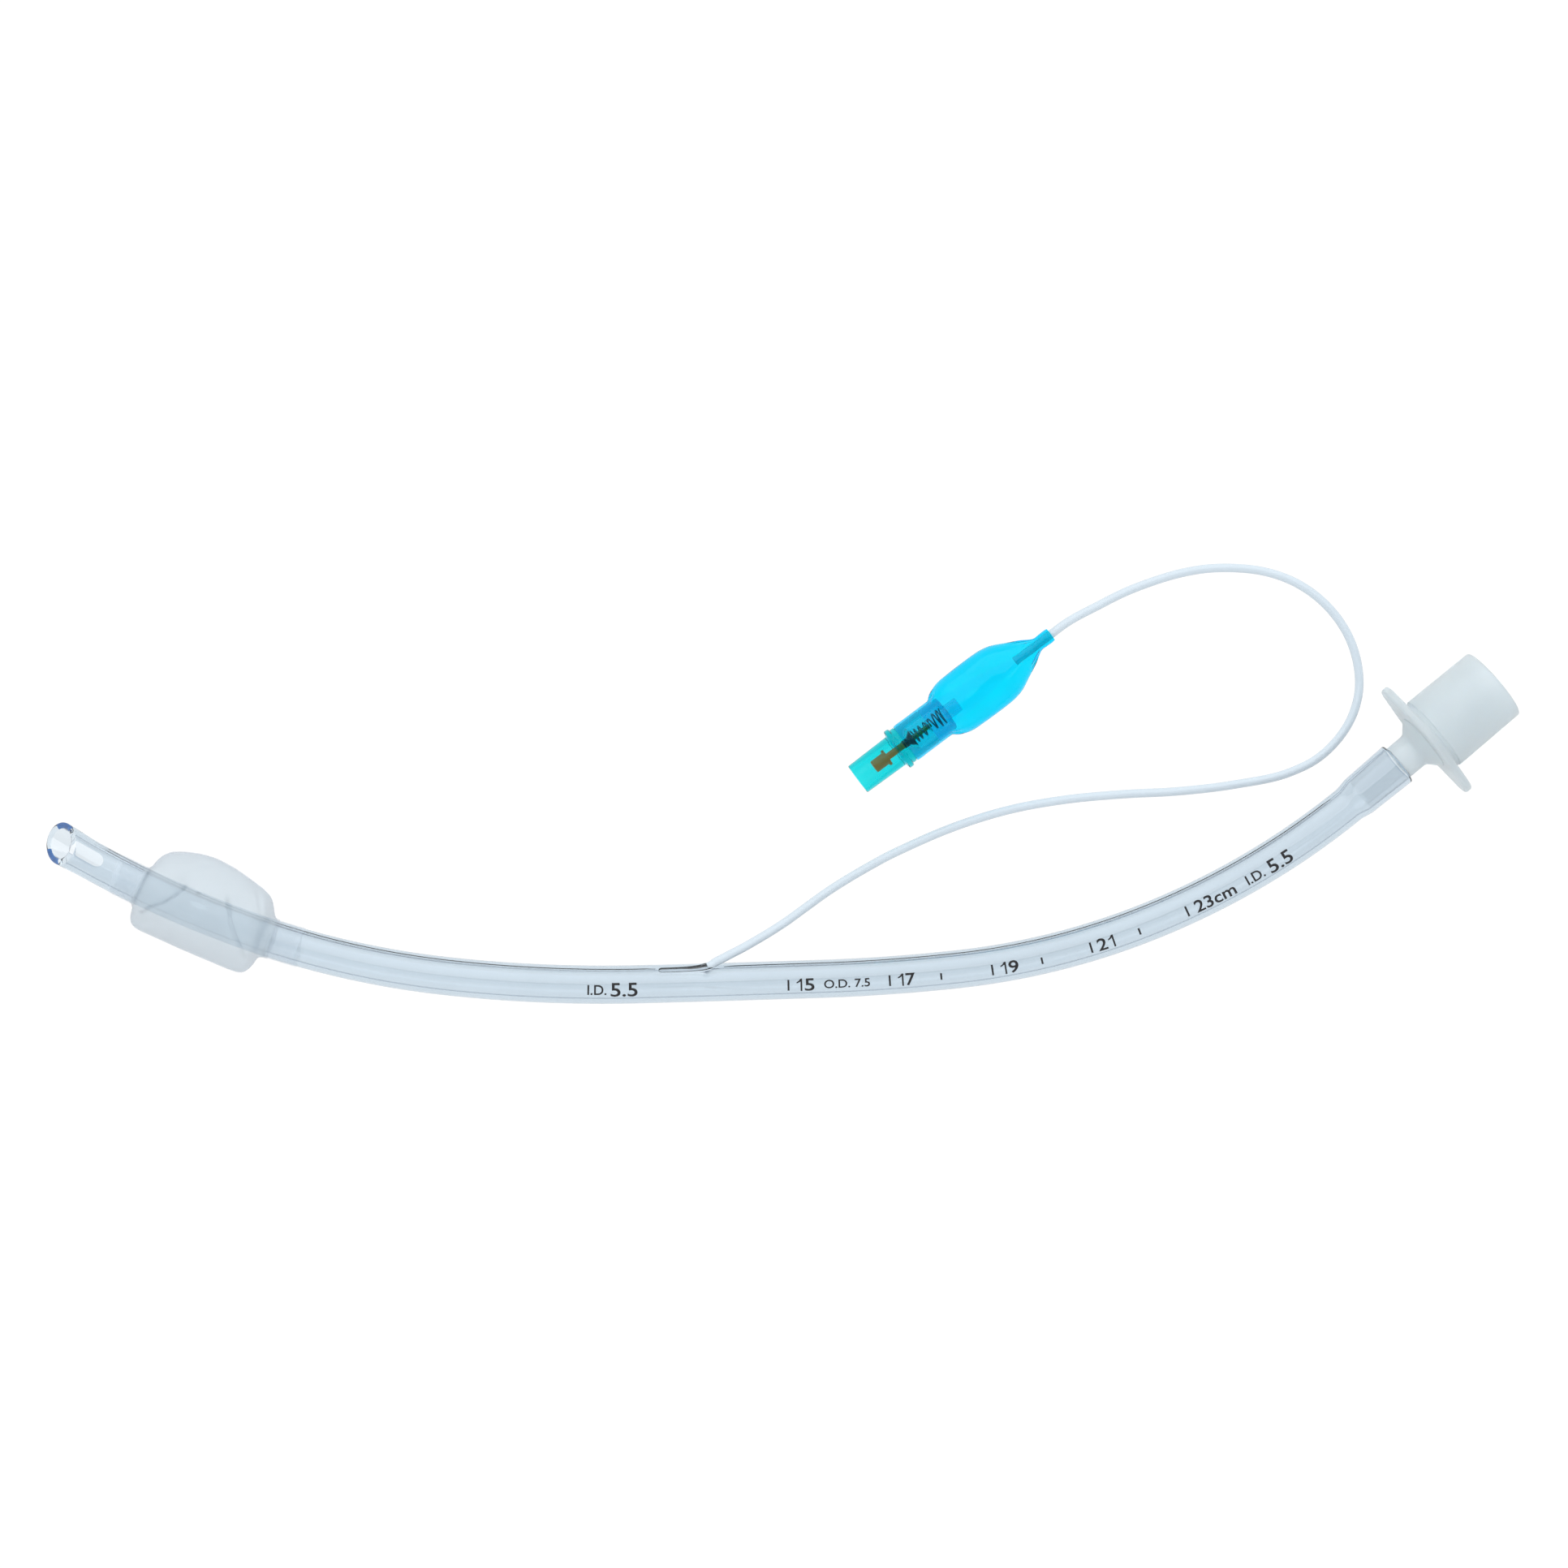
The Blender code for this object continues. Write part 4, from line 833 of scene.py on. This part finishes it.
def cuff_grid():
    sides = CUFF_SIDES
    angles = np.linspace(0, 2 * math.pi, sides, endpoint=False)
    share = (1 + np.cos(angles)) / 2
    stations, radii, centres = [], [], []
    for (s_in, reach_in), (s_out, reach_out) in zip(cuff_profile(CUFF_INSIDE), cuff_profile(CUFF_OUTSIDE)):
        stations.append((share * s_in + (1 - share) * s_out) * MM)
        radii.append(np.full(sides, (reach_in + reach_out) / 2 * MM))
        centres.append(np.full(sides, (reach_in - reach_out) / 2 * MM))
    # the collars' outer edges aren't cut quite square
    slant_near = 0.40 * np.cos(angles) - 0.12 * np.cos(3 * angles + 1)
    slant_far = -0.20 * np.cos(angles) + 0.25 * np.sin(angles * 2 + 0.5)
    along = np.arange(COLLAR_RINGS)[:, None] / (COLLAR_RINGS - 1)
    head = (np.linspace(*NEAR_COLLAR, COLLAR_RINGS)[:, None] - slant_near * (1 - along)) * MM
    tail = (np.linspace(*FAR_COLLAR, COLLAR_RINGS)[:, None] + slant_far * along) * MM
    plain = np.full((COLLAR_RINGS, sides), COLLAR_SKIN)
    middle = np.zeros((COLLAR_RINGS, sides))
    stations = np.vstack([head, stations, tail])
    radii = np.vstack([plain, radii, plain])
    centres = np.vstack([middle, centres, middle])
    # folds and a slight unevenness of the free film
    free = np.clip((radii - COLLAR_SKIN) / (3.0 * MM), 0, 1)
    side = centres + radii * np.cos(angles)
    on_top = np.sin(angles) > 0
    dent = np.zeros_like(radii)
    for points, width, depth in CREASES:
        off = near_line(stations / MM, side / MM, points)
        dent += on_top * depth * np.exp(-((off / width) ** 2))
        dent -= on_top * depth * 0.35 * np.exp(-(((off - 2.2 * width) / (1.3 * width)) ** 2))
    wave = (0.10 * np.sin(angles * 3 + stations / (3.1 * MM))
            + 0.07 * np.sin(angles * 5 - stations / (2.3 * MM) + 1.0)
            + 0.05 * np.sin(angles * 8 + stations / (1.7 * MM)))
    upward = np.clip(np.abs(np.sin(angles)) * 1.5, 0, 1)
    radii = radii - free * (dent + wave * upward) * MM

    def skin(film):
        rings = zip(stations, centres, radii - film)
        return [on_tube(s, c + r * np.cos(angles), r * np.sin(angles)) for s, c, r in rings]

    return grid(skin(0.0) + skin(CUFF_FILM)[::-1], close_rows=True)


cuff_shape = cuff_grid()
for k, face in enumerate(cuff_shape.faces):
    band = (k // CUFF_SIDES) % (CUFF_RINGS + 2 * COLLAR_RINGS)
    face.material_index = 1 if band < COLLAR_RINGS or band >= CUFF_RINGS + COLLAR_RINGS else 0
cuff = to_object("cuff_bag", cuff_shape, crease=60.0)
finish_piece(cuff, (cuff_film, collar_film), "root", "cuff")

# Connector

CONNECTOR = Matrix.Translation((*MACHINE_END, CONNECTOR_HEIGHT))
SPIGOT_END, CONE_MOUTH = -9.4, 24.35
# the faces before this place, inside the tube, are seen through it and take a film
SPIGOT_FILM_END = 0.25 * MM
FLANGE_BACK, FLANGE_FRONT, FLANGE_ROUND = 6.5, 8.1, 0.5
FLANGE_MIDDLE, FLANGE_WING, WING_REACH = 8.35, 3.8, 9.1
HOLE_FRONT, HOLE_BACK = 6.9, 5.3


def connector_profile():
    return rounded([
        (SPIGOT_END, 2.85, 0), (SPIGOT_END, 2.95, 0), (-8.95, 3.25, 0.2), (0.2, 3.55, 0), (4.2, 3.58, 1.3),
        (6.3, 5.9, 0.3), (7.3, 5.9, 0), (7.3, 7.9, 0), (8.15, 7.9, 0), (8.4, 7.66, 0.06), (8.95, 7.66, 0.06),
        (9.2, 7.89, 0.1), (CONE_MOUTH, 7.7, 0.45), (CONE_MOUTH, 6.6, 0.3), (23.9, 6.45, 0.3),
        (8.3, 6.05, 0.6), (7.2, 4.7, 1.0), (3.8, 2.6, 1.0), (SPIGOT_END, 2.4, 0.15),
    ])


def flange_plate():
    """The winged flange: a round plate drawn out to a smaller rounding each side, with a flared hole."""
    tangent = math.acos((FLANGE_MIDDLE - FLANGE_WING) / WING_REACH)
    arcs = (
        # centre, radius and the angles between which the outline follows it
        (WING_REACH, FLANGE_WING, -tangent, tangent),
        (0, FLANGE_MIDDLE, tangent, math.pi - tangent),
        (-WING_REACH, FLANGE_WING, math.pi - tangent, math.pi + tangent),
        (0, FLANGE_MIDDLE, math.pi + tangent, 2 * math.pi - tangent),
    )

    def outline(inset):
        points = []
        for centre, radius, first, last in arcs:
            inner = radius - inset
            for angle in np.linspace(first, last, 16):
                points.append((centre + inner * math.cos(angle), inner * math.sin(angle)))
        return points

    def level(x, inset):
        return [(x * MM, y * MM, z * MM) for y, z in outline(inset)]

    angles = [math.atan2(z, y) for y, z in outline(0.0)]

    def hole(x, radius):
        return [(x * MM, radius * math.cos(a) * MM, radius * math.sin(a) * MM) for a in angles]

    turns = [math.pi / 2 * step / 5 for step in range(6)]
    insets = [(FLANGE_ROUND * (1 - math.sin(a)), FLANGE_ROUND * (1 - math.cos(a))) for a in turns]
    rows = [level(FLANGE_BACK + deep, inset) for deep, inset in insets[::-1]]
    rows += [level(FLANGE_FRONT - deep, inset) for deep, inset in insets]
    rows += [hole(FLANGE_FRONT, HOLE_FRONT), hole(FLANGE_BACK, HOLE_BACK)]
    shape = grid(rows, close_rows=True)
    bmesh.ops.transform(shape, matrix=CONNECTOR, verts=shape.verts)
    return to_object("flange_plate", shape)


connector = to_object("cone_connector", spin(connector_profile(), CONNECTOR, 120))
boolean(connector, [flange_plate()], "UNION", crease=32.0)
for polygon in connector.data.polygons:
    before_funnel = (CONNECTOR.inverted() @ polygon.center).x < SPIGOT_FILM_END
    polygon.material_index = 1 if before_funnel else 0
finish_piece(connector, (milky_plastic, spigot_plastic), "root", "connector")

# Valve

# profiles in mm from the valve's mouth, then from its axis, with each corner's rounding
HOUSING = (
    (0.0, 2.15, 0.1), (0.0, 3.2, 0.28), (9.4, 3.35, 0.25), (9.6, 4.4, 0.28), (10.6, 4.4, 0.28),
    (10.7, 3.95, 0.1), (11.6, 3.95, 0.12), (11.6, 3.7, 0.1), (17.3, 3.7, 0.25), (17.3, 2.3, 0),
    (13.45, 2.3, 0.2), (12.2, 1.05, 0), (10.0, 1.05, 0), (10.0, 1.85, 0.2),
)
RETAINER = (
    (17.42, 2.0, 0), (17.42, 3.66, 0.2), (21.9, 3.7, 0.7), (21.9, 1.5, 0.3), (24.7, 1.45, 0.15),
    (24.7, 0.8, 0), (21.3, 0.8, 0), (21.3, 2.0, 0.2),
)
STEM = (
    (4.1, 0.0, 0), (4.1, 1.3, 0.22), (7.5, 1.3, 0.1), (7.5, 0.7, 0.1), (13.66, 0.7, 0),
    (13.66, 0.55, 0), (18.0, 0.5, 0.2), (18.0, 0.0, 0),
)
SEAL = (
    (11.21, 0.8, 0), (11.21, 0.85, 0.03), (12.11, 0.85, 0.1), (13.06, 1.8, 0.12), (13.56, 1.8, 0.12),
    (13.56, 0.8, 0),
)
EAR_PLACE, EAR_SIZE, EAR_ROUND = 7.2 * MM, (0.6 * MM, 3.4 * MM, 0.9 * MM), 0.12 * MM
# the middle of the wire in mm
COIL_START, COIL_END, COIL_RADIUS = 13.80, 21.05, 1.24
COIL_TURNS, STEPS_PER_TURN, WIRE_RADIUS = 7.0, 40, 0.16 * MM


def stem_ears():
    shape = bmesh.new()
    bmesh.ops.create_cube(shape, size=1.0)
    ears = VALVE @ Matrix.Translation((EAR_PLACE, 0, 0)) @ Matrix.Diagonal((*EAR_SIZE, 1.0))
    bmesh.ops.transform(shape, matrix=ears, verts=shape.verts)
    bmesh.ops.bevel(shape, geom=shape.edges[:], offset=EAR_ROUND, segments=3, affect="EDGES")
    return to_object("stem_ears", shape)


def spring_coil():
    """Wire from the seal to the retainer, wider in its last turns, with closer turns at each end."""
    share = np.linspace(0, 1, int(COIL_TURNS * STEPS_PER_TURN) + 1)
    around = 2 * math.pi * COIL_TURNS * share
    last_turns = 0.40 * ease((share * COIL_TURNS - COIL_TURNS + 3.2) / 2.0)
    first_turn = 0.10 * (1 - ease(share * COIL_TURNS / 1.2))
    radius = COIL_RADIUS + last_turns + first_turn
    along = COIL_START + (COIL_END - COIL_START) * (share - 0.04 * np.sin(2 * math.pi * share))
    points = np.stack([along, radius * np.cos(around), radius * np.sin(around)], -1) * MM
    path = [tuple(VALVE @ Vector(point)) for point in points]
    return grid(sweep(path, WIRE_RADIUS, 12), caps=True)


housing = to_object("housing", spin(rounded(HOUSING), VALVE))
finish_piece(housing, teal_plastic, "root", "valve_housing")
retainer = to_object("retainer", spin(rounded(RETAINER), VALVE))
finish_piece(retainer, blue_plastic, "root", "valve_retainer")
stem = to_object("stem", spin(rounded(STEM, closed=False), VALVE, 48, closed=False))
boolean(stem, [stem_ears()], "UNION")
finish_piece(stem, brown_plastic, "plunger", "valve_stem")
seal = to_object("seal", spin(rounded(SEAL), VALVE, 48))
finish_piece(seal, black_rubber, "plunger", "valve_seal")
spring = to_object("spring", spring_coil())
finish_piece(spring, spring_steel, "root", "valve_spring")
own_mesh(spring)

# Pilot balloon

BALLOON = (
    # mm from the valve's mouth, half width, half height
    (11.68, 3.98, 3.98), (11.78, 4.07, 4.07), (12.0, 4.10, 4.10), (14.0, 4.10, 4.10), (16.0, 4.10, 4.10),
    (18.0, 4.10, 4.10), (19.5, 4.10, 4.10), (20.1, 4.12, 4.10), (20.7, 4.51, 4.20), (21.2, 4.85, 4.25),
    (22.2, 5.38, 4.32), (24.2, 5.88, 4.42), (26.2, 5.98, 4.43), (28.2, 6.03, 4.43), (30.2, 6.04, 4.40),
    (32.2, 6.02, 4.30), (34.2, 5.91, 4.18), (36.2, 5.47, 3.87), (38.2, 4.56, 3.29), (39.2, 4.03, 2.95),
    (40.2, 3.53, 2.58), (41.2, 2.98, 2.22), (42.2, 2.41, 1.87), (43.2, 1.82, 1.55), (44.0, 1.44, 1.44),
    (45.5, 1.43, 1.43), (47.0, 1.42, 1.42), (47.3, 1.36, 1.36),
)
FOLDS = (
    # the fold on each side of the bag's top, in mm from the valve's mouth and from its axis
    ((21.7, 3.7), (25.5, 3.2), (28.9, 2.85), (32.0, 2.2), (36.2, 1.45), (40.2, 0.5)),
    ((21.0, -3.1), (23.6, -2.8), (27.2, -2.6), (30.6, -2.25), (33.8, -1.8), (37.9, -1.05), (40.7, -0.4)),
)
FOLD_DEPTH, FOLD_WIDTH = 0.16, 0.34
FILM_THICKNESS, THICKER_BETWEEN_FOLDS = 0.27, 0.12
BAG_RADIUS = 4.4


def balloon_grid():
    sides = 144
    angles = np.linspace(0, 2 * math.pi, sides, endpoint=False)
    rows = hermite(BALLOON, 0.35)
    stations = np.repeat(rows[:, :1], sides, 1)
    half_width, half_height = rows[:, 1:2], rows[:, 2:3]
    side = half_width * np.cos(angles)
    up = half_height * np.sin(angles)
    # the film is free between its necks
    free = ease((stations - 20.5) / 1.5) * (1 - ease((stations - 39.7) / 3.0))
    top = np.sin(angles) > 0
    left, right = (np.interp(stations, *zip(*fold)) for fold in FOLDS)
    creases = [FOLD_DEPTH * np.exp(-((near_line(stations, side, fold) / FOLD_WIDTH) ** 2)) for fold in FOLDS]
    dent = sum(creases) * top
    between = ease((left - side) / 0.5) * ease((side - right) / 0.5)
    film = FILM_THICKNESS + THICKER_BETWEEN_FOLDS * between * free * top
    wave = 0.05 * np.sin(angles * 4 + stations / 2.6) + 0.03 * np.sin(angles * 7 - stations / 1.9)
    shrink = 1 - free * (dent + wave * np.abs(np.sin(angles))) / BAG_RADIUS
    # longitudinal puckers where the bag is drawn into its necks
    pucker = 0.03 * np.cos(angles * 14) * np.exp(-((stations - 21.2) / 0.9) ** 2)
    pucker = pucker + 0.05 * np.cos(angles * 9 + 1.0) * np.exp(-((stations - 42.0) / 1.6) ** 2)
    shrink = shrink * (1 - pucker)

    def skin(inset):
        across = side * shrink * (1 - inset / half_width)
        upward = up * shrink * (1 - inset / half_height)
        return np.stack([stations, across, upward], -1) * MM

    shape = grid(np.concatenate([skin(0.0), skin(film)[::-1]]), close_rows=True)
    bmesh.ops.transform(shape, matrix=VALVE, verts=shape.verts)
    return shape


balloon = to_object("balloon", balloon_grid(), crease=50.0)
finish_piece(balloon, balloon_film, "root", "pilot_balloon")

# Inflation line

LINE_BORE_SHARE = 0.5
# the line's first points, which lie in the tube's wall
POINTS_IN_WALL = 12


def line_grid():
    radii = line_radius(run_along(LINE_PATH))
    skins = [*sweep(LINE_PATH, radii), *sweep(LINE_PATH, radii * LINE_BORE_SHARE)[::-1]]
    return grid(skins, close_rows=True)


line_shape = line_grid()
for face in line_shape.faces:
    face.material_index = 1 if face.calc_center_median().x < LINE_PATH[POINTS_IN_WALL][0] else 0
line = to_object("line", line_shape)
finish_piece(line, (line_vinyl, line_end_vinyl), "root", "inflation_line")

# Floor and light

FLOOR_DROP = -0.02 * MM
# the sky's colours by their height
SKY = (
    (0.0, (0.88, 0.90, 0.92)), (0.3, (0.86, 0.88, 0.91)),
    (0.6, (0.72, 0.74, 0.77)), (1.0, (0.45, 0.47, 0.50)),
)


def floor():
    size = 3.0
    corners = [(-size, -size, 0), (size, -size, 0), (size, size, 0), (-size, size, 0)]
    mesh = bpy.data.meshes.new("floor")
    mesh.from_pydata(corners, [], [(0, 1, 2, 3)])
    made = link("floor", mesh)
    material = bpy.data.materials.new("floor")
    material.use_nodes = True
    shader = material.node_tree.nodes["Principled BSDF"]
    shader.inputs["Base Color"].default_value = (0.08, 0.08, 0.08, 1.0)
    shader.inputs["Roughness"].default_value = 0.9
    shader.inputs["Specular IOR Level"].default_value = 0.0
    shader.inputs["Emission Color"].default_value = (1.0, 1.0, 1.0, 1.0)
    shader.inputs["Emission Strength"].default_value = 0.97
    mesh.materials.append(material)
    made.location.z = FLOOR_DROP


def world_light():
    world = bpy.data.worlds.new("studio")
    bpy.context.scene.world = world
    world.use_nodes = True
    nodes, links = world.node_tree.nodes, world.node_tree.links
    place = nodes.new("ShaderNodeTexCoord")
    split = nodes.new("ShaderNodeSeparateXYZ")
    ramp = nodes.new("ShaderNodeValToRGB")
    links.new(place.outputs["Generated"], split.inputs["Vector"])
    links.new(split.outputs["Z"], ramp.inputs["Fac"])
    first, *between, last = SKY
    for element, (position, color) in zip(ramp.color_ramp.elements, (first, last)):
        element.position = position
        element.color = (*color, 1.0)
    for position, color in between:
        ramp.color_ramp.elements.new(position).color = (*color, 1.0)
    links.new(ramp.outputs["Color"], nodes["Background"].inputs["Color"])


def soft_box(name, place, size, power):
    lamp = bpy.data.lights.new(name, "AREA")
    lamp.shape = "RECTANGLE"
    lamp.size, lamp.size_y = size
    lamp.energy = power
    made = bpy.data.objects.new(name, lamp)
    bpy.context.scene.collection.objects.link(made)
    made.location = place
    made.rotation_euler = (-Vector(place)).to_track_quat("-Z", "Y").to_euler()


floor()
world_light()
# the photo's upper side is towards (0.64, 0.77) here
soft_box("key", (0.42, 0.50, 0.80), (1.4, 1.4), 8.0)
soft_box("fill", (-0.50, -0.55, 0.60), (1.0, 1.0), 2.0)
